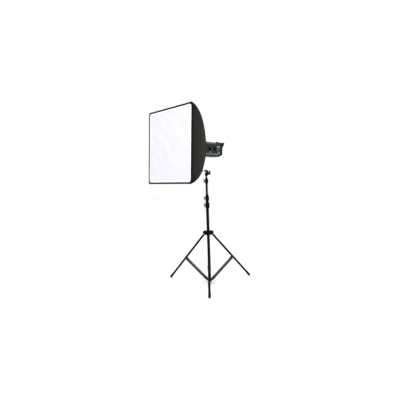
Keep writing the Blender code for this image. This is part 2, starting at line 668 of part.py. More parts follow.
def case_block(half_width, half_height, chamfer, front, back, inset):
    """A block along Y with chamfered long edges, its lower rear corner cut off at a slant."""
    outline = []
    for side_x, side_z in ((1, 1), (-1, 1), (-1, -1), (1, -1)):
        corner = [(half_width - chamfer, half_height), (half_width, half_height - chamfer)]
        if side_x * side_z > 0:
            corner.reverse()
        outline += [(side_x * x, side_z * z) for x, z in corner]
    block = prism(outline, -back, -front, Matrix.Translation((0, 0, AXIS_HEIGHT)) @ UPRIGHT)
    low = AXIS_HEIGHT - LIGHT_HALF_HEIGHT
    rise = SLANT_RISE + inset * 1.2
    slant = [(SLANT_FRONT_Y - 0.020, low - SLANT_SLOPE * 0.020 + inset * 1.2), (0.20, low - 0.1),
             (0.20, low + rise + SLANT_SLOPE * (0.20 - LIGHT_BACK_Y))]
    return cut(block, prism(slant, -0.1, 0.1, SIDEWAYS))


def build_rocker(number, control, tilt):
    """A rocker switch on an empty at its pivot, inside its window."""
    (y, height), half_y, half_z = control
    pivot = empty(f"switch_{number}_axis", (LIGHT_HALF_WIDTH - 0.002, y, AXIS_HEIGHT + height), tilt)
    outline = [(-half_y, -0.0045), (half_y, -0.0045), (half_y, 0.0010), (half_y * 0.55, 0.0030),
               (0.0, 0.0022), (-half_y * 0.55, 0.0030), (-half_y, 0.0046)]
    place = Matrix(((0, 1, 0, 0), (1, 0, 0, 0), (0, 0, 1, 0), (0, 0, 0, 1)))
    finish(f"switch_{number}", prism(outline, -half_z, half_z, place), PALE_GREY, pivot)


def build_button(tilt):
    (y, height), half_y, half_z = TEST_BUTTON
    holder = empty("test_button_axis", (LIGHT_HALF_WIDTH, y, AXIS_HEIGHT + height), tilt)
    body = box((-0.0045, -half_y, -half_z), (0.0022, half_y, half_z))
    finish("test_button", body, PALE_GREY, holder)


def build_dial(number, tilt):
    y, height = DIALS[number - 1]
    holder = empty(f"dial_{number}_axis", (LIGHT_HALF_WIDTH + GAP, y, AXIS_HEIGHT + height), tilt)
    radius = DIAL_RADIUS
    profile = [(0, 0), (radius, 0), (radius, 0.0025), (radius - 0.0025, 0.0035), (radius - 0.0035, 0.0125),
               (radius - 0.0050, 0.0140), (0, 0.0140)]
    finish(f"dial_{number}", turned(profile, ROUND_SIDES, ALONG_X), BLACK_PLASTIC, holder)


def build_display(tilt):
    wide, thick = LIGHT_HALF_WIDTH + GAP, 0.0014
    y, height = DISPLAY_PLACE[0], AXIS_HEIGHT + DISPLAY_PLACE[1]
    half_y, half_z = DISPLAY_HALF
    body = box((wide, y - half_y, height - half_z), (wide + thick, y + half_y, height + half_z))
    finish("display_window", body, BLUE_GREY, tilt)


def build_latch(tilt):
    """Sliding release for the front mount, on top of the case."""
    holder = empty("release_latch_axis", (0, 0.0, AXIS_HEIGHT + LIGHT_HALF_HEIGHT + GAP), tilt)
    outline = [(-0.014, 0.0), (0.014, 0.0), (0.013, 0.0045), (0.004, 0.0040),
               (-0.004, 0.0065), (-0.011, 0.0075)]
    finish("release_latch", prism(outline, -0.009, 0.009, SIDEWAYS), BLACK_PLASTIC, holder)


def build_rear_cover(tilt):
    """Back cap with the mains inlet's window."""
    back, low = LIGHT_BACK_Y + GAP, AXIS_HEIGHT
    body = case_block(LIGHT_HALF_WIDTH, LIGHT_HALF_HEIGHT, LIGHT_CHAMFER, back, COVER_BACK_Y, 0.0)
    roof = low + LIGHT_HALF_HEIGHT
    edge = [(COVER_BACK_Y - 0.006, roof + 0.001), (COVER_BACK_Y + 0.001, roof - 0.0085),
            (COVER_BACK_Y + 0.005, roof + 0.001)]
    body = cut(body, prism(edge, -0.1, 0.1, SIDEWAYS))
    window = box((-0.038, back - 0.01, low - 0.040), (-0.008, 0.18, low - 0.016))
    finish("rear_cover", cut(body, window), BLACK_PLASTIC, tilt)


def build_inlet(tilt):
    """Mains inlet: an open socket let into the rear cover."""
    low = AXIS_HEIGHT - 0.028
    body = box((-0.0377, 0.146, low - 0.0117), (-0.0083, 0.1665, low + 0.0117))
    well = box((-0.0355, 0.1490, low - 0.0090), (-0.0105, 0.18, low + 0.0090))
    finish("mains_inlet", cut(body, well), BLACK_PLASTIC, tilt)


def build_handle(tilt):
    """Carrying handle: two side arms round the top rear edge, and the grip between their tips."""
    roof = LIGHT_HALF_HEIGHT + GAP
    outline = [(0.088, roof), (0.1603, roof), (0.1656, 0.0625), (0.1656, 0.0220), (0.1760, 0.0290),
               (0.1960, 0.0640), (0.1970, 0.0730), (0.1930, 0.0785), (0.1600, 0.0755), (0.1300, 0.0750),
               (0.1050, 0.0800), (0.0890, 0.0790)]
    arms = [prism(outline, low, low + 0.011, SIDEWAYS) for low in (-0.047, 0.036)]
    grip = disc(0.0078, -0.046, 0.046, SMALL_SIDES, Matrix.Translation((0, 0.1880, 0.0700)) @ ALONG_X)
    body = joined(grip, *arms)
    body.data.transform(Matrix.Translation((0, 0, AXIS_HEIGHT)))
    finish("carry_handle", body, BLACK_PLASTIC, tilt)


def build_lamps(tilt):
    """Modelling lamp and ring flash tube, standing in the cup and reaching into the softbox."""
    cup_floor = -0.054 - GAP
    lamp = [(0, cup_floor), (0.012, cup_floor), (0.012, -0.066), (0.009, -0.072), (0.012, -0.082),
            (0.0145, -0.094), (0.012, -0.106), (0.006, -0.112), (0, -0.113)]
    finish("modelling_lamp", turned(lamp, ROUND_SIDES, axis_place()), GLASS, tilt)
    ring = [(0.0300 + 0.004 * math.cos(math.radians(a)), -0.090 + 0.004 * math.sin(math.radians(a)))
            for a in range(0, 360, 45)]
    body = turned(ring, ROUND_SIDES, axis_place())
    for angle in (0, 180):
        turn = Matrix.Rotation(math.radians(angle), 4, "Z")
        leg = disc(0.0032, -0.090, cup_floor, 12, axis_place() @ turn @ Matrix.Translation((0.030, 0, 0)))
        body = joined(body, leg)
    finish("flash_tube", body, GLASS, tilt)


def build_electronics(tilt):
    """What the case holds: the flash capacitors' can, the circuit board and the fan."""
    can_place = Matrix.Translation((-0.022, 0, AXIS_HEIGHT + 0.022)) @ ALONG_Y
    finish("capacitor", disc(0.024, -0.040, 0.060, ROUND_SIDES, can_place), GREY_ALLOY, tilt)
    board = box((-0.046, -0.040, AXIS_HEIGHT - 0.046), (0.040, 0.110, AXIS_HEIGHT - 0.043))
    finish("circuit_board", board, GREEN_BOARD, tilt)
    fan_place = Matrix.Translation((0, 0, AXIS_HEIGHT + 0.030)) @ ALONG_Y
    fan = [(0.008, 0.122), (0.030, 0.122), (0.030, 0.136), (0.008, 0.136)]
    finish("cooling_fan", turned(fan, ROUND_SIDES, fan_place), BLACK_PLASTIC, tilt)


def build_stand(root):
    build_base_tube(root)
    build_lower_collar(root)
    build_clamp(0, root)
    collar = empty("collar_slide_axis", (0, 0, 0), root)
    build_upper_collar(collar)
    knob_axis = empty("collar_knob_axis", (0, 0, (COLLAR_BOTTOM + COLLAR_TOP) / 2), collar,
                      (0, 0, math.radians(COLLAR_KNOB_ANGLE)))
    build_wing_knob("collar_knob", knob_axis, COLLAR_BOSS_END, 0.0176, 0.0135)
    for index, angle in enumerate(leg_angles()):
        turn = math.radians(angle)
        pivot = spoke(angle, LEG_PIVOT_REACH, LEG_PIVOT_HEIGHT)
        pin_place = empty(f"leg_{index + 1}_pin_place", pivot.translation, collar, (0, 0, turn))
        build_pin(f"leg_pin_{index + 1}", pin_place, CHEEK_OUTSIDE + GAP)
        spread = math.radians(-LEG_SPREAD)
        leg = empty(f"leg_{index + 1}_axis", pivot.translation, collar, (0, spread, turn))
        build_leg(index + 1, leg)
        foot_pivot = spoke(angle, BRACE_PIVOT_REACH, BRACE_PIVOT_HEIGHT).translation
        brace_pin = empty(f"brace_{index + 1}_pin_place", foot_pivot, root, (0, 0, turn))
        build_pin(f"brace_pin_{index + 1}", brace_pin, BRACE_OUTSIDE + GAP)
        brace = empty(f"brace_{index + 1}_axis", foot_pivot, root, (0, math.radians(BRACE_SPREAD), turn))
        build_brace(index + 1, brace)


def build_column(root):
    """Three risers, each with the clamp that holds the next one. Returns the last riser's empty."""
    section_root = root
    for index in range(3):
        middle = (CLAMP_BOTTOMS[index] + CLAMP_TOPS[index]) / 2
        gripped = (BASE_TUBE_RADIUS, *RISER_RADII)[index]
        knob_axis = empty(f"clamp_knob_{index + 1}_axis", (0, 0, middle), section_root,
                          (0, 0, math.radians(KNOB_ANGLE)))
        face = gripped + CLAMP_WALL + CLAMP_BOSS
        build_wing_knob(f"clamp_knob_{index + 1}", knob_axis, face, gripped + 0.0017)
        section_root = empty(f"riser_{index + 1}_axis", (0, 0, 0), section_root)
        build_riser(index, section_root)
        if index < 2:
            build_clamp(index + 1, section_root)
    build_spigot(section_root)
    return section_root


def build_head(column_top):
    """Returns the empty on the tilt axis, tilted up to the rest position."""
    pan = empty("head_pan_axis", (0, 0, SOCKET_BOTTOM), column_top)
    build_pan_socket(pan)
    knob_axis = empty("socket_knob_axis", (0, 0, SOCKET_KNOB_HEIGHT - SOCKET_BOTTOM), pan,
                      (0, 0, math.radians(COLLAR_KNOB_ANGLE)))
    build_wing_knob("socket_knob", knob_axis, SOCKET_BOSS_END, 0.0100, 0.0105)
    tilt = empty("tilt_axis", (0, 0, TILT_HEIGHT - SOCKET_BOTTOM), pan, (math.radians(-REST_TILT), 0, 0))
    build_tilt_plate(tilt)
    build_tilt_handle(empty("tilt_handle_axis", (0, 0, 0), tilt, (math.radians(REST_TILT), 0, 0)))
    build_bracket(tilt)
    build_ring_adapter(tilt)
    return tilt


def build_softbox(tilt):
    softbox = empty("softbox_spin_axis", (0, 0, AXIS_HEIGHT), tilt)
    centre = empty("softbox_place", (0, 0, -AXIS_HEIGHT), softbox)
    build_speedring(centre)
    for number, angle in enumerate(ROD_ANGLES, start=1):
        build_rod(number, angle, centre)
    build_shell(centre)
    build_panel("inner_baffle", BAFFLE_DEPTH, 0.002, BAFFLE_HALF, 0.05, centre)
    build_panel("front_diffuser", 0.002, 0.003, FACE_HALF - 0.0056, 0.010, centre)


def build_light(tilt):
    build_housing(tilt)
    build_rear_cover(tilt)
    build_inlet(tilt)
    build_handle(tilt)
    build_lamps(tilt)
    build_electronics(tilt)
    for number in (1, 2):
        build_dial(number, tilt)
    build_rocker(1, SWITCH_1, tilt)
    build_rocker(2, SWITCH_2, tilt)
    build_button(tilt)
    build_display(tilt)
    build_latch(tilt)


def main():
    clear_scene()
    root = empty("stand_root", (COLUMN_X, COLUMN_Y, 0))
    build_stand(root)
    column_top = build_column(root)
    tilt = build_head(column_top)
    build_softbox(tilt)
    build_light(tilt)


main()
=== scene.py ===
import json
import math

import bmesh
import bpy
from mathutils import Matrix, Vector


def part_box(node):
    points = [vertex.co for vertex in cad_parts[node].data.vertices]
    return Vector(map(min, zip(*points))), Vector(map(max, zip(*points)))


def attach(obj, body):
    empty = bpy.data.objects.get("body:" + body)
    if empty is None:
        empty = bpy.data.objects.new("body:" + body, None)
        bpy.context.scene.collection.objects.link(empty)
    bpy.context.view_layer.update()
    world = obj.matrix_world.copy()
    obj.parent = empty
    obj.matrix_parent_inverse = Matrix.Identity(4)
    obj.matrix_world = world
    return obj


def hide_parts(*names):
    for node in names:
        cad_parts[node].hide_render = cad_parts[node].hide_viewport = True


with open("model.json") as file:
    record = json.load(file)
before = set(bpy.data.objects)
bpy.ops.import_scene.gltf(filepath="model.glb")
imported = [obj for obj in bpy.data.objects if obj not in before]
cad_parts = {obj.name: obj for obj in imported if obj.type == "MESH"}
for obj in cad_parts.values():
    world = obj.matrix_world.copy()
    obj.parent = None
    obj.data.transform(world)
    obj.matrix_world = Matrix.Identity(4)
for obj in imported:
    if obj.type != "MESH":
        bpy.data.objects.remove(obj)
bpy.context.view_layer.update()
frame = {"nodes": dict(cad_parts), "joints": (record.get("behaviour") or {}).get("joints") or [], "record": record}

joints = {joint["name"]: joint for joint in frame["joints"]}

# ways to turn a piece so that its own Z points along another axis
alongX = Matrix.Rotation(math.radians(90), 4, "Y")
alongY = Matrix.Rotation(math.radians(-90), 4, "X")
alongMinusY = Matrix.Rotation(math.radians(90), 4, "X")


def leaveEditing():
    # nothing selected, object mode
    if bpy.context.object and bpy.context.object.mode != "OBJECT":
        bpy.ops.object.mode_set(mode="OBJECT")
    bpy.ops.object.select_all(action="DESELECT")


def start(kind, name, **sizes):
    # a primitive at its size and place, ready for edit mode
    leaveEditing()
    getattr(bpy.ops.mesh, "primitive_" + kind + "_add")(**sizes)
    piece = bpy.context.object
    piece.name = piece.data.name = name
    bpy.ops.object.transform_apply(location=True, rotation=True, scale=True)
    return piece


def startBlock(name, low, high):
    middle = (Vector(low) + Vector(high)) / 2
    size = Vector(high) - Vector(low)
    return start("cube", name, size=1.0, location=middle, scale=size)


def pickFaces(piece, test):
    # edit mode, with only the faces that pass the test selected
    bpy.ops.object.mode_set(mode="EDIT")
    bpy.ops.mesh.select_mode(type="FACE")
    bpy.ops.mesh.select_all(action="DESELECT")
    cage = bmesh.from_edit_mesh(piece.data)
    for face in cage.faces:
        if test(face.calc_center_median(), face.normal):
            face.select_set(True)
    bmesh.update_edit_mesh(piece.data)


def pickEdges(piece, test):
    bpy.ops.object.mode_set(mode="EDIT")
    bpy.ops.mesh.select_mode(type="EDGE")
    bpy.ops.mesh.select_all(action="DESELECT")
    cage = bmesh.from_edit_mesh(piece.data)
    for edge in cage.edges:
        if test(edge.verts[0].co, edge.verts[1].co):
            edge.select_set(True)
    bmesh.update_edit_mesh(piece.data)


def push(x=0.0, y=0.0, z=0.0):
    bpy.ops.mesh.extrude_region_move(TRANSFORM_OT_translate={"value": (x, y, z)})


def growUp(piece, steps):
    # pushes the top of a round piece up in steps of (height, width compared with the last step)
    top = max(corner.co.z for corner in piece.data.vertices)
    pickFaces(piece, lambda middle, normal: normal.z > 0.9 and middle.z > top - 0.00001)
    for height, widen in steps:
        push(z=height)
        top += height
        bpy.ops.transform.resize(value=(widen, widen, 1.0), center_override=(0, 0, top))
    leaveEditing()


def applyAll(piece):
    leaveEditing()
    piece.select_set(True)
    bpy.context.view_layer.objects.active = piece
    for modifier in list(piece.modifiers):
        bpy.ops.object.modifier_apply(modifier=modifier.name)


def soften(piece, width, segments=2, angle=35):
    # rounds the sharp edges
    bevel = piece.modifiers.new("edges", "BEVEL")
    bevel.width = width
    bevel.segments = segments
    bevel.limit_method = "ANGLE"
    bevel.angle_limit = math.radians(angle)
    applyAll(piece)


def settle(piece, place, body, material, smooth=35):
    # puts the shape in its place in the frame and hangs it on its body
    leaveEditing()
    piece.data.transform(place)
    piece.select_set(True)
    bpy.context.view_layer.objects.active = piece
    bpy.ops.object.mode_set(mode="EDIT")
    bpy.ops.mesh.select_all(action="SELECT")
    bpy.ops.mesh.normals_make_consistent(inside=False)
    bpy.ops.object.mode_set(mode="OBJECT")
    bpy.ops.object.shade_smooth_by_angle(angle=math.radians(smooth))
    piece.data.materials.clear()
    piece.data.materials.append(material)
    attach(piece, body)


def copyPiece(piece, name):
    twin = piece.copy()
    twin.data = piece.data.copy()
    twin.name = twin.data.name = name
    bpy.context.collection.objects.link(twin)
    return twin


def joinPieces(pieces, name):
    leaveEditing()
    for piece in pieces:
        piece.select_set(True)
    bpy.context.view_layer.objects.active = pieces[0]
    bpy.ops.object.join()
    pieces[0].name = pieces[0].data.name = name
    return pieces[0]


tiltPoint = Vector(joints["head_tilt"]["pos_m"])
facing = Vector(joints["softbox_turn"]["axis"]).normalized()   # the way the softbox looks
sideways = Vector((1, 0, 0))
backward = -facing
upward = sideways.cross(backward)
headPlace = Matrix.Translation(tiltPoint) @ Matrix((sideways, backward, upward)).transposed().to_4x4()
axisHeight = 0.2453                                            # light axis above the tilt axis
axisPlace = headPlace @ Matrix.Translation((0, 0, axisHeight))


def toLinear(hexColour):
    parts = [int(hexColour[at:at + 2], 16) / 255 for at in (1, 3, 5)]
    parts = [part / 12.92 if part <= 0.04045 else ((part + 0.055) / 1.055) ** 2.4 for part in parts]
    return (*parts, 1.0)


def addNode(tree, kind, inputs, output=0, **settings):
    # inputs hold numbers, hex colours or the outputs of other nodes
    node = tree.nodes.new("ShaderNode" + kind)
    for name, value in settings.items():
        setattr(node, name, value)
    for name, value in inputs.items():
        if isinstance(value, bpy.types.NodeSocket):
            tree.links.new(value, node.inputs[name])
        elif isinstance(value, str):
            node.inputs[name].default_value = toLinear(value)
        else:
            node.inputs[name].default_value = value
    return node.outputs[output] if len(node.outputs) else node


def newMaterial(name):
    material = bpy.data.materials.new(name)
    material.use_nodes = True
    material.node_tree.nodes.clear()
    return material, material.node_tree


def finishMaterial(material, shader):
    # the shader's own values and links, and the output
    tree = material.node_tree
    surface = addNode(tree, "BsdfPrincipled", shader)
    addNode(tree, "OutputMaterial", {"Surface": surface})
    return material


def wovenCloth(name, light, dark, thread, threadDepth, roughness, stitches=None, **shader):
    # plain weave; the thread spacing is drawn coarser than the real 0.2 mm so that it shows
    material, tree = newMaterial(name)
    cloth = addNode(tree, "UVMap", {}, uv_map="cloth")       # metres across and along the cloth
    place = addNode(tree, "TexCoord", {}, "Object")
    bands = {"Vector": cloth, "Scale": math.tau / 20 / thread,   # one wave for each thread
             "Distortion": 0.4, "Detail": 1.0, "Detail Scale": 0.5}
    warp = addNode(tree, "TexWave", bands, "Fac", wave_type="BANDS", bands_direction="X")
    weft = addNode(tree, "TexWave", bands, "Fac", wave_type="BANDS", bands_direction="Y")
    weave = addNode(tree, "Math", {0: warp, 1: weft}, operation="MULTIPLY")
    worn = addNode(tree, "TexNoise", {"Vector": place, "Scale": 11.0, "Detail": 4.0, "Roughness": 0.6})
    fine = addNode(tree, "TexNoise", {"Vector": cloth, "Scale": 250.0, "Detail": 2.0})
    wornPart = addNode(tree, "Math", {0: worn, 1: 0.6}, operation="MULTIPLY")
    shade = addNode(tree, "Math", {0: weave, 1: 0.35, 2: wornPart}, operation="MULTIPLY_ADD")
    share = addNode(tree, "MapRange", {"Value": shade, "From Min": 0.25, "From Max": 0.65})
    colour = addNode(tree, "Mix", {0: share, 6: dark, 7: light}, 2, data_type="RGBA")
    height = addNode(tree, "Math", {0: fine, 1: 0.4, 2: weave}, operation="MULTIPLY_ADD")
    if stitches:
        colour, height = addStitches(tree, colour, height, stitches)
    rough = addNode(tree, "MapRange", {"Value": worn, "From Min": 0.3, "From Max": 0.7,
                                       "To Min": roughness - 0.06, "To Max": roughness + 0.08})
    bump = addNode(tree, "Bump", {"Height": height, "Distance": threadDepth, "Strength": 0.6})
    return finishMaterial(material, {"Base Color": colour, "Roughness": rough, "Normal": bump, **shader})


def addStitches(tree, colour, height, stitches):
    # a dashed line where the attribute "edge", metres from the nearest seam, is at the line's distance
    edge = addNode(tree, "Attribute", {}, "Fac", attribute_name="edge")
    run = addNode(tree, "Attribute", {}, "Fac", attribute_name="run")
    along = addNode(tree, "Math", {0: run, 1: stitches["length"]}, operation="MODULO")
    dash = addNode(tree, "Math", {0: along, 1: stitches["length"] * 0.62}, operation="LESS_THAN")
    line = None
    for distance in stitches["distances"]:
        off = addNode(tree, "Math", {0: edge, 1: distance, 2: stitches["width"] / 2}, operation="COMPARE")
        near = addNode(tree, "Math", {0: off, 1: dash}, operation="MULTIPLY")
        line = near if line is None else addNode(tree, "Math", {0: line, 1: near}, operation="MAXIMUM")
    colour = addNode(tree, "Mix", {0: line, 6: colour, 7: stitches["colour"]}, 2, data_type="RGBA")
    return colour, addNode(tree, "Math", {0: line, 1: 2.0, 2: height}, operation="MULTIPLY_ADD")


def mouldedPlastic(name, light, dark, grain, grainDepth, roughness, **shader):
    # spark-eroded texture of the mould, slightly polished where hands rub it
    material, tree = newMaterial(name)
    place = addNode(tree, "TexCoord", {}, "Object")
    pits = addNode(tree, "TexVoronoi", {"Vector": place, "Scale": 1 / grain}, "Distance")
    mottled = addNode(tree, "TexNoise", {"Vector": place, "Scale": 33.0, "Detail": 4.0, "Roughness": 0.6})
    share = addNode(tree, "MapRange", {"Value": mottled, "From Min": 0.3, "From Max": 0.7})
    colour = addNode(tree, "Mix", {0: share, 6: dark, 7: light}, 2, data_type="RGBA")
    rough = addNode(tree, "MapRange", {"Value": mottled, "From Min": 0.3, "From Max": 0.7,
                                       "To Min": roughness - 0.07, "To Max": roughness + 0.07})
    bump = addNode(tree, "Bump", {"Height": pits, "Distance": grainDepth, "Strength": 0.5})
    return finishMaterial(material, {"Base Color": colour, "Roughness": rough, "Normal": bump, **shader})


def paintedTube(name, light, dark, worn, **shader):
    # satin powder coat: orange peel of about 2 mm, with dull scuffs along it
    material, tree = newMaterial(name)
    place = addNode(tree, "TexCoord", {}, "Object")
    peel = addNode(tree, "TexNoise", {"Vector": place, "Scale": 500.0, "Detail": 2.0})
    stretched = addNode(tree, "Mapping", {"Vector": place, "Scale": (1.0, 1.0, 0.12)})
    scuffs = addNode(tree, "TexNoise", {"Vector": stretched, "Scale": 83.0, "Detail": 5.0, "Roughness": 0.7})
    patches = addNode(tree, "TexNoise", {"Vector": place, "Scale": 20.0, "Detail": 3.0})
    paint = addNode(tree, "Mix", {0: patches, 6: dark, 7: light}, 2, data_type="RGBA")
    share = addNode(tree, "MapRange", {"Value": scuffs, "From Min": 0.62, "From Max": 0.78})
    colour = addNode(tree, "Mix", {0: share, 6: paint, 7: worn}, 2, data_type="RGBA")
    rough = addNode(tree, "MapRange", {"Value": scuffs, "From Min": 0.3, "From Max": 0.7,
                                       "To Min": 0.36, "To Max": 0.52})
    bump = addNode(tree, "Bump", {"Height": peel, "Distance": 0.00008, "Strength": 0.4})
    return finishMaterial(material, {"Base Color": colour, "Roughness": rough, "Normal": bump, **shader})


def bareMetal(name, light, dark, roughness, grain, stretch=(1, 1, 1), metal=1.0):
    # drawing or tumbling marks, grain metres apart
    material, tree = newMaterial(name)
    place = addNode(tree, "TexCoord", {}, "Object")
    stretched = addNode(tree, "Mapping", {"Vector": place, "Scale": stretch})
    marks = addNode(tree, "TexNoise", {"Vector": stretched, "Scale": 1 / grain, "Detail": 4.0,
                                       "Roughness": 0.65})
    patches = addNode(tree, "TexNoise", {"Vector": place, "Scale": 40.0, "Detail": 3.0})
    share = addNode(tree, "MapRange", {"Value": patches, "From Min": 0.3, "From Max": 0.7})
    colour = addNode(tree, "Mix", {0: share, 6: dark, 7: light}, 2, data_type="RGBA")
    rough = addNode(tree, "MapRange", {"Value": marks, "From Min": 0.3, "From Max": 0.7,
                                       "To Min": roughness - 0.08, "To Max": roughness + 0.1})
    bump = addNode(tree, "Bump", {"Height": marks, "Distance": 0.00004, "Strength": 0.35})
    return finishMaterial(material, {"Base Color": colour, "Roughness": rough, "Normal": bump,
                                     "Metallic": metal})


def braceWithPaintedHighlight(name, web, cheek, across, middle, reach, **shader):
    # dark painted channel; the pale mottled stripe down the web is a painted highlight, the cheeks keep their dark
    # paint
    material, tree = newMaterial(name)
    place = addNode(tree, "TexCoord", {}, "Object")
    off = addNode(tree, "VectorMath", {0: place, 1: across}, "Value", operation="DOT_PRODUCT")
    centred = addNode(tree, "Math", {0: off, 1: middle}, operation="SUBTRACT")
    away = addNode(tree, "Math", {0: centred}, operation="ABSOLUTE")
    share = addNode(tree, "MapRange", {"Value": away, "From Min": reach * 0.42, "From Max": reach * 0.62})
    marks = addNode(tree, "TexNoise", {"Vector": place, "Scale": 260.0, "Detail": 4.0, "Roughness": 0.65})
    # painted highlight colour for the web, broken up by the noise marks
    mottled = addNode(tree, "Mix", {0: marks, 6: web, 7: "#4f4f4c"}, 2, data_type="RGBA")
    colour = addNode(tree, "Mix", {0: share, 6: mottled, 7: cheek}, 2, data_type="RGBA")
    rough = addNode(tree, "MapRange", {"Value": marks, "From Min": 0.3, "From Max": 0.7,
                                       "To Min": 0.42, "To Max": 0.58})
    bump = addNode(tree, "Bump", {"Height": marks, "Distance": 0.00004, "Strength": 0.35})
    return finishMaterial(material, {"Base Color": colour, "Roughness": rough, "Normal": bump, **shader})


def frostedGlass(name, **shader):
    # frosted borosilicate: mostly clear, with a milky coat
    material, tree = newMaterial(name)
    place = addNode(tree, "TexCoord", {}, "Object")
    milk = addNode(tree, "TexNoise", {"Vector": place, "Scale": 100.0, "Detail": 3.0})
    etched = addNode(tree, "TexNoise", {"Vector": place, "Scale": 1600.0, "Detail": 3.0})
    colour = addNode(tree, "Mix", {0: milk, 6: "#f5f3ea", 7: "#ffffff"}, 2, data_type="RGBA")
    bump = addNode(tree, "Bump", {"Height": etched, "Distance": 0.00003, "Strength": 0.4})
    return finishMaterial(material, {"Base Color": colour, "Roughness": 0.25, "Normal": bump, **shader})


fabricStitches = {"distances": (0.006, 0.010), "width": 0.0011, "length": 0.0045, "colour": "#343632"}
edgeStitches = {"distances": (0.0035,), "width": 0.0011, "length": 0.0040, "colour": "#2b2d30"}
dull = {"Specular IOR Level": 0.12, "IOR": 1.5}      # fibres, rubber and ink scatter most of the light
satin = {"Specular IOR Level": 0.2, "IOR": 1.53}     # a finely pitted mould breaks up the reflection
powder = {"Specular IOR Level": 0.05, "IOR": 1.5}    # matt powder coat, and matt black castings

# coated nylon: a dull black that greys a little where light rakes it
blackNylon = wovenCloth("coated_black_nylon", "#282824", "#181815", 0.0016, 0.00012, 0.85, fabricStitches,
                        **dull)
# the aluminised back of the same cloth, bright and crinkled
silverLining = wovenCloth("aluminised_nylon_lining", "#cfd1d3", "#a9abae", 0.0016, 0.0002, 0.32, Metallic=0.9)
# thin white nylon that light passes through, a little milky
diffusionCloth = wovenCloth("white_diffusion_nylon", "#e5e4ea", "#dddce4", 0.0014, 0.00010, 0.75,
                            **{"IOR": 1.5, "Subsurface Weight": 0.12, "Subsurface Scale": 0.002,
                               "Subsurface Radius": (1.0, 1.0, 1.0)})
# heavy ribbed webbing round the rim and on the corners, blacker than the cloth
edgeTape = wovenCloth("black_edge_webbing", "#131312", "#080808", 0.0026, 0.0003, 0.88, edgeStitches, **dull)
# brushed loop tape that the front sheet is pressed on to: matt and very white
loopTape = wovenCloth("white_loop_tape", "#ffffff", "#fafafb", 0.0022, 0.0004, 0.9,
                      **{"Sheen Weight": 0.5, "Sheen Roughness": 0.4})
# acetal and glass-filled nylon castings, dull black
blackNylonCasting = mouldedPlastic("moulded_black_nylon", "#0d0d0c", "#060606", 0.0009, 0.00008, 0.6,
                                   **powder)
# dark grey ABS case, satin, faintly green
greyCase = mouldedPlastic("moulded_grey_abs", "#232825", "#191d1b", 0.0007, 0.00005, 0.5, **satin)
# the lighter grey of the trim strips
trimPlastic = mouldedPlastic("moulded_pale_trim_abs", "#646a67", "#545a57", 0.0007, 0.00005, 0.4, **satin)
# rear cap and handle: black ABS with a coarser grain
blackAbs = mouldedPlastic("moulded_black_abs", "#0d0e0d", "#070807", 0.0011, 0.0001, 0.58, **powder)
# key caps, smooth and light grey
keyPlastic = mouldedPlastic("key_cap_abs", "#8d9292", "#7e8383", 0.0006, 0.00003, 0.4, **satin)
# soft-touch rubber, nearly without shine
feetRubber = mouldedPlastic("moulded_black_rubber", "#121212", "#090909", 0.0012, 0.00015, 0.85, **dull)
# pale ink on the dials; and the lit bars of the display, their glow painted as a flat pale blue
paleInk = mouldedPlastic("screen_printed_ink", "#c4c6c4", "#b4b6b4", 0.0005, 0.00001, 0.6, **dull)
digitGlowPaint = mouldedPlastic("display_segment_painted_glow", "#a9bccd", "#9cafc0", 0.0006, 0.00001, 0.5, **dull)
# waxed cord, smoother than the cloth it edges
pipingCord = mouldedPlastic("waxed_piping_cord", "#131312", "#090909", 0.0008, 0.0002, 0.85, **dull)
# steel and aluminium tube under black powder coat
blackTube = paintedTube("black_powder_coat", "#0c0c0b", "#060605", "#2a2a27", **powder)
blackSteel = paintedTube("black_stoved_enamel", "#0f0f0e", "#070707", "#34332f", **powder)
# the speedring: tumbled and clear anodised alloy
greyAlloy = bareMetal("anodised_grey_alloy", "#5e5e5b", "#4a4a47", 0.48, 0.0015, (1, 1, 0.3), 0.6)
# zinc plated pins and screws, bright but not polished
zincSteel = bareMetal("zinc_plated_steel", "#b9b9b5", "#9a9a96", 0.32, 0.0008)
# drawn spring wire
springSteel = bareMetal("drawn_spring_steel", "#7f8082", "#5f6062", 0.35, 0.0009, (1, 1, 0.1))
# black passivated zinc on the spigot and the bolt: dark with a grey glint
blackZinc = bareMetal("black_zinc_plated_steel", "#2a2a29", "#1e1e1d", 0.42, 0.0008, (1, 1, 1), 0.8)
# capacitor can, spun and lightly brushed
canAlloy = bareMetal("spun_aluminium_can", "#c4c5c8", "#a8a9ac", 0.3, 0.001)
# solder resist over glass laminate
boardGreen = mouldedPlastic("green_circuit_board", "#1f6b35", "#16502a", 0.002, 0.00002, 0.4, IOR=1.5)
# tinted acrylic, glossy
smokedWindow = mouldedPlastic("smoked_acrylic_window", "#2c3640", "#212932", 0.01, 0.000005, 0.1, IOR=1.49)
lampMaterial = frostedGlass("frosted_lamp_glass", **{"IOR": 1.47, "Transmission Weight": 0.7})
slotMaterials = {
    "black_tube": blackTube, "black_steel": blackSteel, "grey_alloy": greyAlloy,
    "black_plastic": blackNylonCasting, "steel": zincSteel, "spring_steel": springSteel,
    "rubber": feetRubber, "black_fabric": blackNylon, "white_fabric": diffusionCloth,
    "grey_case": greyCase, "black_cover": blackAbs, "pale_grey": keyPlastic, "display": smokedWindow,
    "glass": lampMaterial, "board": boardGreen, "can": canAlloy,
}
for part in frame["record"]["subparts"]:
    node = frame["nodes"][part["node"]]
    node.data.materials.clear()
    node.data.materials.append(slotMaterials[part["material_slot"]])
frame["nodes"]["carry_handle"].data.materials[0] = blackAbs
for number in (1, 2, 3):
    channel = frame["nodes"][f"brace_{number}"].data
    across = Vector(joints[f"brace_fold_{number}"]["axis"])
    sides = [corner.co.dot(across) for corner in channel.vertices]
    middle, reach = (min(sides) + max(sides)) / 2, (max(sides) - min(sides)) / 2
    # the pale grey is the painted highlight down the web, the near-black the paint of the cheeks
    channel.materials[0] = braceWithPaintedHighlight(f"channel_with_painted_highlight_{number}", "#77776f", "#191918",
                                       tuple(across), middle, reach, Metallic=0.3)
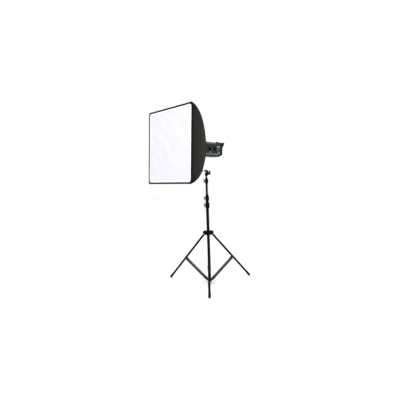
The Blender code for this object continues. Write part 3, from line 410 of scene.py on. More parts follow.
for dark in ("spigot", "bar_bolt"):
    frame["nodes"][dark].data.materials[0] = blackZinc
print("materials done")


softbox = {
    "face": -0.455,              # front rim, along the light axis
    "depth": 0.350,
    "seamFront": 0.490,          # corner seam: distance from the axis at the rim
    "seamMiddle": (0.176, 0.408),
    "seamBack": (0.372, 0.105),
    "frontCorner": 0.016,
    "cornerGrowth": 0.060,
    "loft": 0.010,               # how far the cloth stands off the bend of the rods
    "sag": 0.005,                # how far the cloth pulls in between two rods
    "foldHeight": 0.0011,
    "cloth": 0.0006,             # thickness
    "leastCorner": 0.002,        # tightest turn of a strip inside the rim
    "rows": 70,
    "across": 40,                # steps along one side, of the skin and of a strip
    "stripAcross": 24,
    "cornerSteps": 6,
}


def seamReach(depth):
    # distance of the corner seam from the axis
    bend = softbox["seamBack"][0] - 2 * softbox["seamMiddle"][0]
    middle = softbox["seamMiddle"][0]
    step = (-middle + math.sqrt(middle ** 2 + bend * max(depth, 0.0))) / bend
    return ((1 - step) ** 2 * softbox["seamFront"] + 2 * step * (1 - step) * softbox["seamMiddle"][1]
            + step ** 2 * softbox["seamBack"][1])


def halfAt(depth):
    # half side and corner radius of the box at a depth behind its face
    travel = min(max(depth / softbox["depth"], 0.0), 1.0)
    corner = softbox["frontCorner"] + softbox["cornerGrowth"] * travel ** 2
    reach = seamReach(depth) + softbox["loft"] * math.sin(math.pi * travel) ** 0.8
    return (reach + corner * (math.sqrt(2) - 1)) / math.sqrt(2), corner


def aroundBox(depth, out, across):
    # points round the box: (x, z, share of the side from -1 to 1, outward x, outward z)
    half, corner = halfAt(depth)
    points = []
    for quarter in range(4):
        turn = Matrix.Rotation(math.radians(90 * quarter), 2)
        radius = max(corner + out, softbox["leastCorner"])
        flat = half + out - radius
        for step in range(across + 1):
            share = 2 * step / across - 1
            points.append((turn @ Vector((half + out, flat * share)), share, turn @ Vector((1, 0))))
        for step in range(1, softbox["cornerSteps"]):
            angle = math.radians(90 * step / softbox["cornerSteps"])
            way = Vector((math.cos(angle), math.sin(angle)))
            points.append((turn @ (Vector((flat, flat)) + way * radius), 1.0, turn @ way))
    return points


def layCloth(name, rows, place, wrap=False, wrapRows=False, edges=None):
    # a sheet from rows of points, with a UV map in metres; its front is where rows turn right from columns
    cage = bmesh.new()
    grid = [[cage.verts.new(place @ Vector(point)) for point in row] for row in rows]
    uv = cage.loops.layers.uv.new("cloth")
    wide, tall = len(rows[0]), len(rows)
    along = [0.0]
    for first, second in zip(rows[0], rows[0][1:] + rows[0][:1]):
        along.append(along[-1] + (Vector(second) - Vector(first)).length)
    deep = [0.0]
    middle = wide // 2
    for first, second in zip(rows, rows[1:] + rows[:1]):
        deep.append(deep[-1] + (Vector(second[middle]) - Vector(first[middle])).length)
    for row in range(tall if wrapRows else tall - 1):
        for column in range(wide if wrap else wide - 1):
            after, below = (column + 1) % wide, (row + 1) % tall
            face = cage.faces.new((grid[row][column], grid[below][column], grid[below][after],
                                   grid[row][after]))
            corners = ((column, row), (column, row + 1), (column + 1, row + 1), (column + 1, row))
            for loop, (at, down) in zip(face.loops, corners):
                loop[uv].uv = (along[at], deep[down])
    mesh = bpy.data.meshes.new(name)
    cage.to_mesh(mesh)
    cage.free()
    piece = bpy.data.objects.new(name, mesh)
    bpy.context.collection.objects.link(piece)
    if edges:
        for label, values in edges.items():
            layer = mesh.attributes.new(label, "FLOAT", "POINT")
            layer.data.foreach_set("value", values)
    return piece


def dress(piece, body, slotName, *materials, thick=0.0, outward=False):
    # gives the cloth its thickness, finish and body
    piece.data.materials.clear()
    for material in materials:
        piece.data.materials.append(material)
    if thick:
        wall = piece.modifiers.new("thickness", "SOLIDIFY")
        wall.thickness = thick
        wall.offset = 1.0 if outward else -1.0
        wall.material_offset = len(materials) - 1
        applyAll(piece)
    leaveEditing()
    piece.data.shade_smooth()
    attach(piece, body)


def clothDrape(depth, share, quarter):
    # how far a point of the side lies inside the straight line between two rods
    travel = depth / softbox["depth"]
    between = max(0.0, 1 - share * share)
    held = math.sin(math.pi * min(1.0, travel * 1.02)) ** 0.7 if 0 < travel < 0.98 else 0.0
    sag = softbox["sag"] * between * held
    wander = share * 0.9 + 1.7 * quarter
    folds = (math.sin(math.tau * (depth / 0.083) + 1.8 * math.sin(wander * 1.3) + quarter)
             + 0.7 * math.sin(math.tau * (depth / 0.052) + 2.6 * math.sin(wander + 0.7) + 2 * quarter)
             + 0.3 * math.sin(math.tau * (depth / 0.031) + 3.0 * wander))
    return sag - softbox["foldHeight"] * folds * held * between ** 0.6 * (0.45 + 0.55 * math.cos(wander) ** 2)


def makeSkin():
    # the four panels in one, from the rim to the speedring, with a bright lining
    rows, edge, run = [], [], []
    lastRow = softbox["rows"]
    for row in range(lastRow + 1):
        depth = softbox["depth"] * row / lastRow
        half, corner = halfAt(depth)
        line = []
        for index, (spot, share, way) in enumerate(aroundBox(depth, 0.0, softbox["across"])):
            quarter = index // (softbox["across"] + softbox["cornerSteps"])
            spot = spot - way * clothDrape(depth, share, quarter)
            line.append((spot.x, softbox["face"] + depth, spot.y))
            fromCorner = (1 - abs(share)) * (half - corner)
            edge.append(fromCorner + corner * 0.4 if fromCorner > 0 else 0.0)
            run.append(depth * 1.15)
        rows.append(line)
    skin = layCloth("softboxSkin", rows, axisPlace, wrap=True, edges={"edge": edge, "run": run})
    dress(skin, "softbox", "black_fabric", blackNylon, silverLining, thick=softbox["cloth"])
    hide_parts("softbox_shell")


def makeBand(name, outline, material, slotName):
    # a closed strip round the box; outline holds (depth, out) points
    rows, edge, run = [], [], []
    depths = [depth for depth, out in outline]
    for depth, out in outline:
        line = []
        for spot, share, way in aroundBox(depth, out, softbox["stripAcross"]):
            line.append((spot.x, softbox["face"] + depth, spot.y))
            edge.append(max(depths) - depth)
            run.append(math.hypot(spot.x, spot.y) if abs(share) == 1.0 else abs(share) * 0.35)
        rows.append(line)
    band = layCloth(name, rows, axisPlace, wrap=True, wrapRows=True, edges={"edge": edge, "run": run})
    dress(band, "softbox", slotName, material)


def makeFrontSheet():
    # the front diffuser, stretched inside the rim
    size = {"half": 0.3440, "depth": 0.0048, "steps": 96, "fold": 0.0026}
    rows = []
    for row in range(size["steps"] + 1):
        z = size["half"] * (2 * row / size["steps"] - 1)
        line = []
        for column in range(size["steps"] + 1):
            x = size["half"] * (2 * column / size["steps"] - 1)
            inside = (1 - (x / size["half"]) ** 6) * (1 - (z / size["half"]) ** 6)
            # shallow folds that run from the upper left corner to the lower right one
            cross = 0.5 * x + 0.87 * z + 0.05 * math.sin(6 * (x - z))
            down = (x - z) / math.sqrt(2)
            fold = (math.sin(math.tau * cross / 0.21 + 0.6) * math.exp(-(down / 0.28) ** 2)
                    + 0.6 * math.sin(math.tau * cross / 0.12 + 2.1) * math.exp(-((down + 0.12) / 0.2) ** 2)
                    + 0.5 * math.sin(math.tau * (x + 0.4 * z) / 0.16) * math.exp(-((x + 0.2) / 0.12) ** 2))
            line.append((x, softbox["face"] + size["depth"] + size["fold"] * fold * inside, z))
        rows.append(line)
    sheet = layCloth("frontDiffuser", rows, axisPlace)
    dress(sheet, "softbox", "white_fabric", diffusionCloth, thick=0.0004)
    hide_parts("front_diffuser")


def makeBaffle():
    # rings of points from the middle out, with a ripple that grows towards the hem
    size = {"depth": 0.142, "half": 0.262, "corner": 0.05, "middle": 0.004, "ripple": 0.0009, "waves": 9}
    steps = {"rings": 20, "side": 10, "corner": 5}
    rows = []
    for ring in range(steps["rings"] + 1):
        share = max(ring / steps["rings"], size["middle"])
        half, corner = size["half"] * share, size["corner"] * share
        line = []
        for quarter in range(4):
            turn = Matrix.Rotation(math.radians(90 * quarter), 2)
            flat = half - corner
            spots = [Vector((half, flat * (2 * step / steps["side"] - 1))) for step in range(steps["side"])]
            for step in range(steps["corner"] + 1):
                angle = math.radians(90 * step / steps["corner"])
                spots.append(Vector((flat, flat)) + Vector((math.cos(angle), math.sin(angle))) * corner)
            for spot in spots:
                spot = turn @ spot
                ripple = size["ripple"] * math.sin(size["waves"] * math.atan2(spot.y, spot.x)) * share ** 2
                line.append((spot.x, softbox["face"] + size["depth"] + ripple, spot.y))
        rows.append(line)
    sheet = layCloth("innerBaffle", rows, axisPlace, wrap=True)
    dress(sheet, "softbox", "white_fabric", diffusionCloth, thick=0.0005)
    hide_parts("inner_baffle")


makeSkin()
makeFrontSheet()
makeBaffle()

# edge webbing folded over the rim
makeBand("rimWebbing", [(0.0, -0.0122), (-0.0014, -0.0118), (-0.0022, -0.006), (-0.0018, 0.0016),
                        (0.001, 0.0028), (0.014, 0.0022), (0.0160, 0.0015), (0.0160, 0.0003),
                        (0.002, 0.0003), (0.0008, -0.0122)],
         edgeTape, "black_fabric")
# loop tape inside the rim
makeBand("loopTapeFrame", [(0.0026, -0.0285), (0.0016, -0.0280), (0.0012, -0.0265), (0.0012, -0.0126),
                           (0.0018, -0.0120), (0.0028, -0.0120)], loopTape, "white_fabric")
print("softbox cloth done")


def aroundCorner(depth, out, quarter, distance):
    # a point of the box's wall, measured along it from the middle of a corner
    half, corner = halfAt(depth)
    flat, arcHalf = half - corner, corner * math.pi / 4
    if abs(distance) <= arcHalf:
        angle = math.radians(45) + distance / corner
        spot = Vector((flat, flat)) + Vector((math.cos(angle), math.sin(angle))) * (corner + out)
    else:
        beyond = abs(distance) - arcHalf
        spot = Vector((flat - beyond, half + out)) if distance > 0 else Vector((half + out, flat - beyond))
    spot = Matrix.Rotation(math.radians(90 * quarter), 2) @ spot
    return spot.x, softbox["face"] + depth, spot.y


def layPanel(name, rows, columns, pointAt):
    # a sewn panel: pointAt takes the shares down and across it, and gives the point, the metres from the
    # nearest edge and the metres along the stitches
    lines, edge, run = [], [], []
    for row in range(rows + 1):
        line = []
        for column in range(columns + 1):
            point, fromEdge, along = pointAt(row / rows, column / columns)
            line.append(point)
            edge.append(fromEdge)
            run.append(along)
        lines.append(line)
    return layCloth(name, lines, axisPlace, edges={"edge": edge, "run": run})


def makeCornerPatch(quarter):
    # a pocket of heavy webbing that takes the end of the rod
    patch = {"length": 0.062, "reach": 0.046, "least": 0.007, "proud": 0.0022, "thick": 0.0012}

    def pointAt(down, share):
        reach = patch["reach"] * math.sqrt(max(0.0, 1 - down ** 2)) + patch["least"]
        across = 2 * share - 1
        point = aroundCorner(patch["length"] * down, patch["proud"], quarter, across * reach)
        fromEdge = min(1 - abs(across), 1 - down) * patch["reach"]
        return point, fromEdge, patch["length"] * down + abs(across) * reach

    piece = layPanel(f"cornerPocket_{quarter + 1}", 12, 20, pointAt)
    dress(piece, "softbox", "black_fabric", edgeTape, thick=patch["thick"], outward=True)


def makeCornerWeb(quarter):
    # the small triangle of webbing that closes the pocket at the front
    web = {"width": 0.046, "least": 0.26, "inset": 0.0035, "hollow": 0.16, "lift": -0.0026, "bow": 0.0012,
           "thick": 0.0010}
    outer = halfAt(0.0)[0] - web["inset"]
    turn = Matrix.Rotation(math.radians(90 * quarter), 2)

    def pointAt(down, share):
        size = web["width"] * max(down, web["least"])
        hollow = web["hollow"] * size * math.sin(math.pi * share)
        spot = turn @ Vector((outer - size * share + hollow, outer - size * (1 - share) + hollow))
        point = (spot.x, softbox["face"] + web["lift"] + web["bow"] * down ** 2, spot.y)
        return point, (1 - down) * web["width"], share * web["width"] * 1.4

    piece = layPanel(f"cornerWeb_{quarter + 1}", 10, 10, pointAt)
    dress(piece, "softbox", "black_fabric", edgeTape, thick=web["thick"])


def makeSeamPiping(quarter):
    # a thin cord sewn into the corner seam
    cord = {"radius": 0.0017, "proud": 0.0006, "start": 0.004, "steps": 60}
    curve = bpy.data.curves.new(f"seamPiping_{quarter + 1}", "CURVE")
    curve.dimensions = "3D"
    curve.bevel_depth = cord["radius"]
    curve.bevel_resolution = 3
    curve.use_fill_caps = True
    spline = curve.splines.new("POLY")
    spline.points.add(cord["steps"])
    for step, point in enumerate(spline.points):
        depth = cord["start"] + (softbox["depth"] - cord["start"]) * step / cord["steps"]
        point.co = (*(axisPlace @ Vector(aroundCorner(depth, cord["proud"], quarter, 0.0))), 1.0)
    piping = bpy.data.objects.new(f"seamPiping_{quarter + 1}", curve)
    bpy.context.collection.objects.link(piping)
    leaveEditing()
    piping.select_set(True)
    bpy.context.view_layer.objects.active = piping
    bpy.ops.object.convert(target="MESH")
    settle(bpy.context.object, Matrix.Identity(4), "softbox", pipingCord, 60)


def makeBackFlap(quarter):
    # closes the back between two rods, from the wall's hem to the ring's rim
    flap = {"outer": 0.1172, "outerHalf": 0.088, "inner": 0.067, "spread": 40, "depth": -0.1052,
            "dish": 0.0024, "pucker": 0.0012, "puckers": 9, "hem": 0.06, "thick": 0.0007}
    turn = Matrix.Rotation(math.radians(90 * quarter), 2)

    def pointAt(down, share):
        across = 2 * share - 1
        angle = math.radians(flap["spread"] * across)
        outer = Vector((flap["outer"], flap["outerHalf"] * across))
        inner = Vector((math.cos(angle), math.sin(angle))) * flap["inner"]
        spot = turn @ outer.lerp(inner, down)
        pucker = flap["pucker"] * math.sin(flap["puckers"] * across + quarter) * math.sin(math.pi * down)
        point = (spot.x, flap["depth"] + flap["dish"] * down - abs(pucker), spot.y)
        return point, min(1 - abs(across), 1 - down) * flap["hem"], down * 0.05 + abs(across) * flap["hem"]

    piece = layPanel(f"backFlap_{quarter + 1}", 12, 20, pointAt)
    dress(piece, "softbox", "black_fabric", blackNylon, silverLining, thick=flap["thick"])


def makeSeamTab(quarter, depth):
    # a folded loop of tape in the seam, for tying the box down
    tab = {"width": 0.020, "out": 0.016, "gap": 0.0035, "sewnIn": 0.003, "length": 0.032, "thick": 0.0010}
    turn = Matrix.Rotation(math.radians(90 * quarter), 2)
    toSeam = Matrix.Rotation(math.radians(45), 2)
    foot = seamReach(depth) - tab["sewnIn"]

    def pointAt(down, share):
        angle = math.pi * (share - 0.5)
        spot = Vector((foot + tab["out"] * math.cos(angle), tab["gap"] * math.sin(angle)))
        spot = turn @ (toSeam @ spot)
        point = (spot.x, softbox["face"] + depth + tab["width"] * (down - 0.5), spot.y)
        return point, min(down, 1 - down) * tab["width"], share * tab["length"]

    piece = layPanel(f"seamTab_{quarter + 1}", 6, 16, pointAt)
    dress(piece, "softbox", "black_fabric", edgeTape, thick=tab["thick"])


def makeBaffleStrap(quarter):
    # elastic from the baffle's corner to its rod, drawn in at the waist
    strap = {"from": 0.346, "to": 0.379, "width": 0.012, "waist": 0.35, "depth": 0.1425, "thick": 0.0012}
    rowSteps, columnSteps = 6, 4
    turn = Matrix.Rotation(math.radians(90 * quarter + 45), 2)
    rows = []
    for row in range(rowSteps + 1):
        share = row / rowSteps
        reach = strap["from"] + (strap["to"] - strap["from"]) * share
        width = strap["width"] * (1 - strap["waist"] * math.sin(math.pi * share))
        line = []
        for column in range(columnSteps + 1):
            spot = turn @ Vector((reach, width * (column / columnSteps - 0.5)))
            line.append((spot.x, softbox["face"] + strap["depth"], spot.y))
        rows.append(line)
    piece = layCloth(f"baffleStrap_{quarter + 1}", rows, axisPlace)
    dress(piece, "softbox", "white_fabric", loopTape, thick=strap["thick"])


for quarter in range(4):
    makeCornerPatch(quarter)
    makeCornerWeb(quarter)
    makeSeamPiping(quarter)
    makeBackFlap(quarter)
    makeBaffleStrap(quarter)
for quarter in (2, 3):
    makeSeamTab(quarter, 0.205)
print("sewn parts done")


case = {"halfWidth": 0.055, "rear": 0.165}
sideFace = case["halfWidth"] + 0.0001    # what is fixed to the case stands this little off it
rearFace = case["rear"] + 0.0001


def mirrored(piece, name):
    # the same piece on the other side of the head
    twin = copyPiece(piece, name)
    twin.data.transform(Matrix.Diagonal((-1, 1, 1, 1)))
    return twin


def sinkFace(piece, axis, rim, depth):
    # insets the face that looks along an axis, 0 for X, and pushes its middle in
    pickFaces(piece, lambda middle, normal: normal[axis] > 0.9)
    bpy.ops.mesh.inset(thickness=rim)
    push(**{"xyz"[axis]: -depth})


def roundPanel(panel, axis, corner, segments, rim, depth):
    # rounds the corners of a flat panel and sinks its face inside a rim
    pickEdges(panel, lambda first, second: abs(first[axis] - second[axis]) > 0.0005)
    bpy.ops.mesh.bevel(offset=corner, segments=segments)
    sinkFace(panel, axis, rim, depth)
    leaveEditing()


def makeTrim(name, low, high, groove):
    # a bar with a shallow channel along it, one on each side of the case
    bar = startBlock(name + "_right", low, high)
    sinkFace(bar, 0, groove, 0.0006)
    leaveEditing()
    soften(bar, 0.0004, 2)
    other = mirrored(bar, name + "_left")
    for piece in (bar, other):
        settle(piece, axisPlace, "tilt_head", trimPlastic)


def makeControlPlate():
    plate = startBlock("controlPlate", (sideFace, -0.0270, -0.0225), (sideFace + 0.0008, 0.0862, 0.0300))
    roundPanel(plate, 0, 0.006, 5, 0.0012, 0.0003)
    settle(plate, axisPlace, "tilt_head", greyCase, 30)


def makeDial(number):
    # fluted knob with a skirt and a pointer
    knob = {"skirt": 0.0179, "grip": 0.0166, "flutes": 26}
    place = Matrix.Translation(joints[f"dial_{number}_turn"]["pos_m"]) @ headTurn @ alongX
    skirt = start("cylinder", f"dialKnob_{number}", vertices=48, radius=knob["skirt"], depth=0.0022,
                  location=(0, 0, 0.0011))
    growUp(skirt, [(0.0006, 0.96), (0.0002, 0.85)])
    grip = start("cylinder", "grip", vertices=knob["flutes"] * 2, radius=knob["grip"], depth=0.0095,
                 location=(0, 0, 0.0072))
    step = math.pi / knob["flutes"]
    pickFaces(grip, lambda middle, normal: abs(normal.z) < 0.3
              and round(math.atan2(middle.y, middle.x) / step - 0.5) % 2 == 0)
    bpy.ops.mesh.inset(thickness=0.0003, use_individual=True)
    bpy.ops.transform.shrink_fatten(value=-0.0007)
    leaveEditing()
    growUp(grip, [(0.0010, 0.93), (0.0, 0.80), (-0.0008, 0.98)])
    knobPiece = joinPieces([skirt, grip], f"dialKnob_{number}")
    settle(knobPiece, place, f"dial_{number}", blackNylonCasting, 30)
    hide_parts(f"dial_{number}")
    pointer = startBlock(f"dialPointer_{number}", (-0.0006, 0.0040, 0.0118), (0.0006, 0.0122, 0.0134))
    soften(pointer, 0.0002, 1)
    settle(pointer, place, f"dial_{number}", paleInk)


def makeDialScale(number):
    # eleven printed ticks round the knob, longer at the ends and in the middle
    dial = {"ticks": 11, "apart": 27, "radius": 0.0191, "long": 0.0026, "short": 0.0015}
    place = Matrix.Translation(joints[f"dial_{number}_turn"]["pos_m"]) @ headTurn @ alongX
    ticks = []
    for index in range(dial["ticks"]):
        length = dial["long"] if index % 5 == 0 else dial["short"]
        tick = startBlock("tick", (-0.0003, dial["radius"], 0.0006),
                          (0.0003, dial["radius"] + length, 0.0008))
        tick.data.transform(Matrix.Rotation(math.radians(dial["apart"] * (index - 5)), 4, "Z"))
        ticks.append(tick)
    scale = joinPieces(ticks, f"dialScale_{number}")
    settle(scale, place, "tilt_head", paleInk)


def makeGrille(name, place, width, height, fins):
    # a shallow frame with louvre fins inside; the face is along +Z
    louvre = {"rim": 0.0028, "margin": 0.0045, "half": 0.28, "lean": 0.12}    # half and lean are shares
    frameBlock = startBlock(name, (-width / 2, -height / 2, 0.0001), (width / 2, height / 2, 0.0016))
    roundPanel(frameBlock, 2, 0.0035, 4, louvre["rim"], 0.0012)
    pieces = [frameBlock]
    opening = height - 2 * louvre["margin"]
    pitch = opening / fins
    for index in range(fins):
        at = (index + 0.5) * pitch - opening / 2
        fin = startBlock("fin", (-width / 2 + louvre["rim"], at - pitch * louvre["half"], 0.0003),
                         (width / 2 - louvre["rim"], at + pitch * louvre["half"], 0.0013))
        pickFaces(fin, lambda middle, normal: normal.z > 0.9)
        bpy.ops.transform.translate(value=(0, pitch * louvre["lean"], 0))
        leaveEditing()
        pieces.append(fin)
    grille = joinPieces(pieces, name)
    settle(grille, axisPlace @ place, "tilt_head", blackAbs, 30)


def makeScrews(name, places, radius, body):
    # pan heads with a socket in the middle; +Z is out of the surface
    heads = []
    for place in places:
        head = start("cylinder", name, vertices=24, radius=radius, depth=0.0008, location=(0, 0, 0.0004))
        growUp(head, [(0.0005, 0.86), (0.0, 0.52), (-0.0007, 0.95)])
        head.data.transform(place)
        heads.append(head)
    settle(joinPieces(heads, name), Matrix.Identity(4), body, zincSteel, 30)


def makeHandleSleeve():
    # soft ribbed sleeve on the grip
    grip = {"radius": 0.0087, "ribs": 11, "groove": 0.93}
    sleeve = start("cylinder", "handleSleeve", vertices=32, radius=grip["radius"], depth=0.002,
                   location=(0, 0, 0.001))
    rib = [(0.0046, 1.0), (0.0005, grip["groove"]), (0.0006, 1.0), (0.0005, 1 / grip["groove"])]
    growUp(sleeve, rib * grip["ribs"])
    place = axisPlace @ Matrix.Translation((-0.0350, 0.1880, 0.0700)) @ alongX
    settle(sleeve, place, "tilt_head", feetRubber, 30)


def makeInletParts():
    # three flat contacts in the well, a fuse drawer, and two sockets beside it
    contacts = []
    for x, z in ((-0.0290, -0.0315), (-0.0170, -0.0315), (-0.0230, -0.0245)):
        contact = startBlock("contact", (x - 0.0010, 0.1495, z - 0.0020), (x + 0.0010, 0.1605, z + 0.0020))
        soften(contact, 0.0003, 1)
        contacts.append(contact)
    settle(joinPieces(contacts, "inletContacts"), axisPlace, "tilt_head", zincSteel)
    drawer = startBlock("fuseDrawer", (0.0040, 0.1651, -0.0375), (0.0260, 0.1676, -0.0185))
    sinkFace(drawer, 1, 0.0022, 0.0010)
    bpy.ops.mesh.inset(thickness=0.0035)
    push(y=0.0012)
    leaveEditing()
    soften(drawer, 0.0004, 2)
    settle(drawer, axisPlace, "tilt_head", blackAbs)
    sockets = []
    for x in (-0.0150, 0.0150):
        socket = start("cylinder", "socket", vertices=6, radius=0.0062, depth=0.0016, location=(0, 0, 0.0008))
        ring = start("cylinder", "ring", vertices=28, radius=0.0046, depth=0.0034, location=(0, 0, 0.0017))
        growUp(ring, [(0.0003, 0.92), (0.0, 0.62), (-0.0030, 1.0)])
        piece = joinPieces([socket, ring], "socket")
        piece.data.transform(axisPlace @ Matrix.Translation((x, rearFace, -0.0020)) @ alongY)
        sockets.append(piece)
    settle(joinPieces(sockets, "cordSockets"), Matrix.Identity(4), "tilt_head", zincSteel, 30)


def makeDisplay():
    # raised bezel, two plain digits and a point
    bezel = startBlock("displayBezel", (case["halfWidth"] + 0.0002, 0.0878, -0.0195),
                       (case["halfWidth"] + 0.0026, 0.1222, 0.0205))
    roundPanel(bezel, 0, 0.0025, 4, 0.0024, 0.0016)
    settle(bezel, axisPlace, "tilt_head", smokedWindow, 30)
    bars = {"top": (0, 2, True), "middle": (0, 1, True), "bottom": (0, 0, True),
            "upperLeft": (0, 1, False), "upperRight": (1, 1, False),
            "lowerLeft": (0, 0, False), "lowerRight": (1, 0, False)}
    digits = ((0.0955, ("top", "upperLeft", "middle", "lowerRight", "bottom")),
              (0.1085, ("top", "bottom", "upperLeft", "upperRight", "lowerLeft", "lowerRight")))
    wide, tall, thick = 0.0062, 0.0062, 0.0011
    glass = case["halfWidth"] + 0.0018    # just in front of the window
    pieces = []
    for y, names in digits:
        for label in names:
            column, row, level = bars[label]
            low = (y + column * wide, -0.0058 + row * tall)
            high = (low[0] + wide, low[1]) if level else (low[0], low[1] + tall)
            pieces.append(startBlock("bar", (glass, low[0] - thick / 2, low[1] - thick / 2),
                                     (glass + 0.0003, high[0] + thick / 2, high[1] + thick / 2)))
    pieces.append(startBlock("bar", (glass, 0.1045, -0.0064), (glass + 0.0003, 0.1057, -0.0052)))
    # the pale blue of the bars is a painted glow
    settle(joinPieces(pieces, "displayDigits"), axisPlace, "tilt_head", digitGlowPaint)


headTurn = headPlace.to_3x3().to_4x4()
leftOut = Matrix.Rotation(math.radians(-90), 4, "Y")
makeTrim("lowerTrim", (sideFace, -0.0570, -0.0555), (sideFace + 0.0017, 0.1080, -0.0400), 0.0022)
makeTrim("upperTrim", (sideFace, -0.0570, 0.0535), (sideFace + 0.0013, 0.0850, 0.0615), 0.0018)
makeControlPlate()
for number in (1, 2):
    makeDial(number)
    makeDialScale(number)
leftSide = Matrix.Translation((-case["halfWidth"], 0.035, 0.004)) @ leftOut
makeGrille("sideGrille", leftSide @ Matrix.Rotation(math.radians(90), 4, "Z"), 0.100, 0.068, 9)
makeGrille("rearGrille", Matrix.Translation((0, case["rear"], 0.034)) @ alongY, 0.058, 0.044, 7)
leftScrews = [Matrix.Translation((-sideFace, y, z)) @ leftOut
              for y in (-0.050, 0.112) for z in (0.047, -0.034)]
rearScrews = [Matrix.Translation((x, rearFace, z)) @ alongY
              for z in (0.008, -0.030) for x in (-0.047, 0.047)]
makeScrews("caseScrews", [axisPlace @ place for place in leftScrews + rearScrews], 0.0031, "tilt_head")
bracketScrews = [Matrix.Translation((0, -0.0779, z)) @ alongY for z in (0.1575, 0.1665)]
makeScrews("bracketScrews", [headPlace @ place for place in bracketScrews], 0.0036, "tilt_head")
makeHandleSleeve()
makeInletParts()
makeDisplay()
print("flash head done")


# each step of a wing: share of its rise, metres along the stud, change of thickness and of width
wingSteps = ((0.30, 0.0012, 0.92, 0.92), (0.28, 0.0012, 1.18, 1.20),
             (0.34, 0.0004, 1.15, 1.20), (0.17, 0.0000, 0.75, 0.70))


def makeWingKnob(node, jointName, body):
    # a moulded hub on its stud, with two fat wings
    pivot = Vector(joints[jointName]["pos_m"])
    axis = Vector(joints[jointName]["axis"])
    corners = [corner.co - pivot for corner in frame["nodes"][node].data.vertices]
    far = max(corner.dot(axis) for corner in corners)
    near = min(corner.dot(axis) for corner in corners)
    spread = max(corner.z for corner in corners)
    hubStart = far - 0.0147
    place = Matrix.Translation(pivot) @ Matrix.Rotation(math.atan2(axis.y, axis.x), 4, "Z")
    hub = start("cylinder", node, vertices=28, radius=0.0066, depth=0.005, location=(0, 0, hubStart + 0.0025))
    growUp(hub, [(0.0025, 0.92), (0.0010, 0.75), (0.0003, 0.6)])
    stud = start("cylinder", "stud", vertices=20, radius=0.0029, depth=hubStart + 0.001 - near,
                 location=(0, 0, (hubStart + 0.001 + near) / 2))
    for piece in (hub, stud):
        piece.data.transform(alongX)
    wings = []
    for side in (1, -1):
        wing = startBlock("wing", (hubStart + 0.0008, -0.0042, -0.001), (hubStart + 0.0090, 0.0042, 0.0045))
        pickFaces(wing, lambda middle, normal: normal.z > 0.9)
        rise = spread - 0.0045
        for share, along, thin, wide in wingSteps:
            push(x=along, z=rise * share)
            bpy.ops.transform.resize(value=(wide, thin, 1.0))
        leaveEditing()
        smooth = wing.modifiers.new("round", "SUBSURF")
        smooth.levels = smooth.render_levels = 2
        applyAll(wing)
        wing.data.transform(Matrix.Diagonal((1, 1, side, 1)))
        wings.append(wing)
    knob = joinPieces([hub, stud, *wings], node.replace("knob", "wingKnob"))
    settle(knob, place, body, blackNylonCasting, 40)
    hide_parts(node)


def legPlace(number):
    # local Z runs up the leg from its pivot
    joint = joints[f"leg_fold_{number}"]
    side = Vector(joint["axis"])
    outward = Vector((side.y, -side.x, 0))
    up = Vector((-math.sin(legSpread) * outward.x, -math.sin(legSpread) * outward.y, math.cos(legSpread)))
    return Matrix.Translation(joint["pos_m"]) @ Matrix((up.cross(side) * -1, side, up)).transposed().to_4x4()


def makeFoot(number):
    # rubber cap: domed end, ribbed grip
    foot = {"radius": 0.0125, "end": -0.6646, "ribs": 4}
    first = 0.30        # the dome starts at this angle, as a small flat
    cap = start("cylinder", f"rubberFoot_{number}", vertices=36, radius=foot["radius"] * math.sin(first),
                depth=0.0002, location=(0, 0, foot["end"] - foot["radius"] * math.cos(first) + 0.0001))
    steps, angle = [], first
    while angle < math.pi / 2 - 0.01:
        after = min(angle + 0.21, math.pi / 2)
        rise = foot["radius"] * (math.cos(angle) - math.cos(after))
        steps.append((rise, math.sin(after) / math.sin(angle)))
        angle = after
    steps.append((0.012, 1.0))
    for rib in range(foot["ribs"]):
        steps += [(0.0006, 0.95), (0.0016, 1.0), (0.0006, 1 / 0.95), (0.0022, 1.0)]
    steps += [(0.0075, 1.0), (0.0006, 0.955), (-0.0005, 0.97)]
    growUp(cap, steps)
    settle(cap, legPlace(number), f"leg_{number}", feetRubber, 40)
    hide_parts(f"foot_{number}")


def makeLegCap(number):
    # pressed plug in the top of the leg's tube
    cap = start("cylinder", f"legCap_{number}", vertices=28, radius=0.0112, depth=0.0012,
                location=(0, 0, 0.0127))
    growUp(cap, [(0.0009, 0.93), (0.0005, 0.75), (0.0, 0.5), (-0.0004, 0.9)])
    settle(cap, legPlace(number), f"leg_{number}", blackNylonCasting, 30)


def makeClampDetails():
    # screw heads on the hinge barrels, and the bush that shows at the mouth of each clamp
    clamps = (("base", 0.015, 0.013), ("riser_1", 0.013, 0.011), ("riser_2", 0.011, 0.0092))   # tube radii
    lip = 0.0030
    column = Vector(joints["head_pan"]["pos_m"])
    knobWay = Vector(joints["clamp_knob_1_turn"]["axis"])
    for index, (body, gripped, sliding) in enumerate(clamps):
        low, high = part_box(f"riser_clamp_{index + 1}")
        hinge = Vector((column.x, column.y, 0)) - knobWay * (gripped - 0.0013)
        hingeTop = Matrix.Translation((hinge.x, hinge.y, high[2] - 0.0069))
        makeScrews(f"hingeScrew_{index + 1}", [hingeTop], 0.0037, body)
        bush = start("cylinder", f"clampBush_{index + 1}", vertices=40, radius=sliding + lip, depth=0.0008,
                     location=(0, 0, 0.0004))
        growUp(bush, [(0.0005, 0.95), (0.0002, 0.93), (0.0, (sliding + 0.0001) / (sliding + lip) / 0.884)])
        settle(bush, Matrix.Translation((column.x, column.y, high[2] + 0.0001)), body, blackNylonCasting,
               30)


legSpread = math.radians(41.92)
makeWingKnob("collar_knob", "collar_knob_turn", "collar_knob")
makeWingKnob("socket_knob", "socket_knob_turn", "socket_knob")
for number in (1, 2, 3):
    makeWingKnob(f"clamp_knob_{number}", f"clamp_knob_{number}_turn", f"clamp_knob_{number}")
    makeFoot(number)
    makeLegCap(number)
makeClampDetails()
print("stand done")


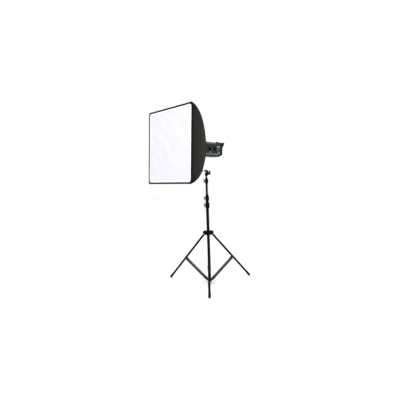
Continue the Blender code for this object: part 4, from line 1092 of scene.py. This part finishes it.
def makeStage():
    floor = start("plane", "studioFloor", size=30.0)
    material, tree = newMaterial("pale_painted_floor")
    place = addNode(tree, "TexCoord", {}, "Object")
    patches = addNode(tree, "TexNoise", {"Vector": place, "Scale": 1.7, "Detail": 3.0})
    colour = addNode(tree, "Mix", {0: patches, 6: "#fbfbfb", 7: "#ffffff"}, 2, data_type="RGBA")
    finishMaterial(material, {"Base Color": colour, "Roughness": 0.8, "Specular IOR Level": 0.1})
    floor.data.materials.append(material)
    world = bpy.data.worlds.new("studioAir")
    bpy.context.scene.world = world
    world.use_nodes = True
    air = world.node_tree.nodes["Background"]
    air.inputs[0].default_value = (1.0, 1.0, 1.0, 1.0)
    air.inputs[1].default_value = 1.0


lamps = {
    "keyPanel": {"place": (2.2, -2.4, 3.9), "size": 1.0, "power": 62},
    "fillPanel": {"place": (3.6, -0.6, 2.0), "size": 1.6, "power": 12},
    "topPanel": {"place": (0.2, 0.4, 4.2), "size": 2.4, "power": 18},
    "backPanel": {"place": (-1.5, 3.0, 2.4), "size": 1.8, "power": 10},
}
aim = Vector((0, 0, 1.0))    # the lamps look at this point
view = {"place": (3.0064, -2.4823, 1.1125), "heading": 51.28, "tip": -3.83, "roll": 2.02, "lens": 34.39}


def makeLamps():
    for name, values in lamps.items():
        light = bpy.data.lights.new(name, "AREA")
        light.size = values["size"]
        light.energy = values["power"]
        lamp = bpy.data.objects.new(name, light)
        lamp.location = values["place"]
        lamp.rotation_euler = (Vector(values["place"]) - aim).to_track_quat("Z", "Y").to_euler()
        bpy.context.collection.objects.link(lamp)


def makeCamera():
    camera = bpy.data.objects.new("mainCamera", bpy.data.cameras.new("mainCamera"))
    bpy.context.collection.objects.link(camera)
    turn = (Matrix.Rotation(math.radians(view["heading"]), 4, "Z")
            @ Matrix.Rotation(math.radians(view["tip"]), 4, "X")
            @ Matrix.Rotation(math.radians(view["roll"]), 4, "Y") @ alongMinusY)
    camera.matrix_world = Matrix.Translation(view["place"]) @ turn
    camera.data.lens = view["lens"]
    camera.data.sensor_width = 36
    bpy.context.scene.camera = camera


makeStage()
makeLamps()
makeCamera()
bpy.context.scene.view_settings.view_transform = "Standard"
print("stage done")
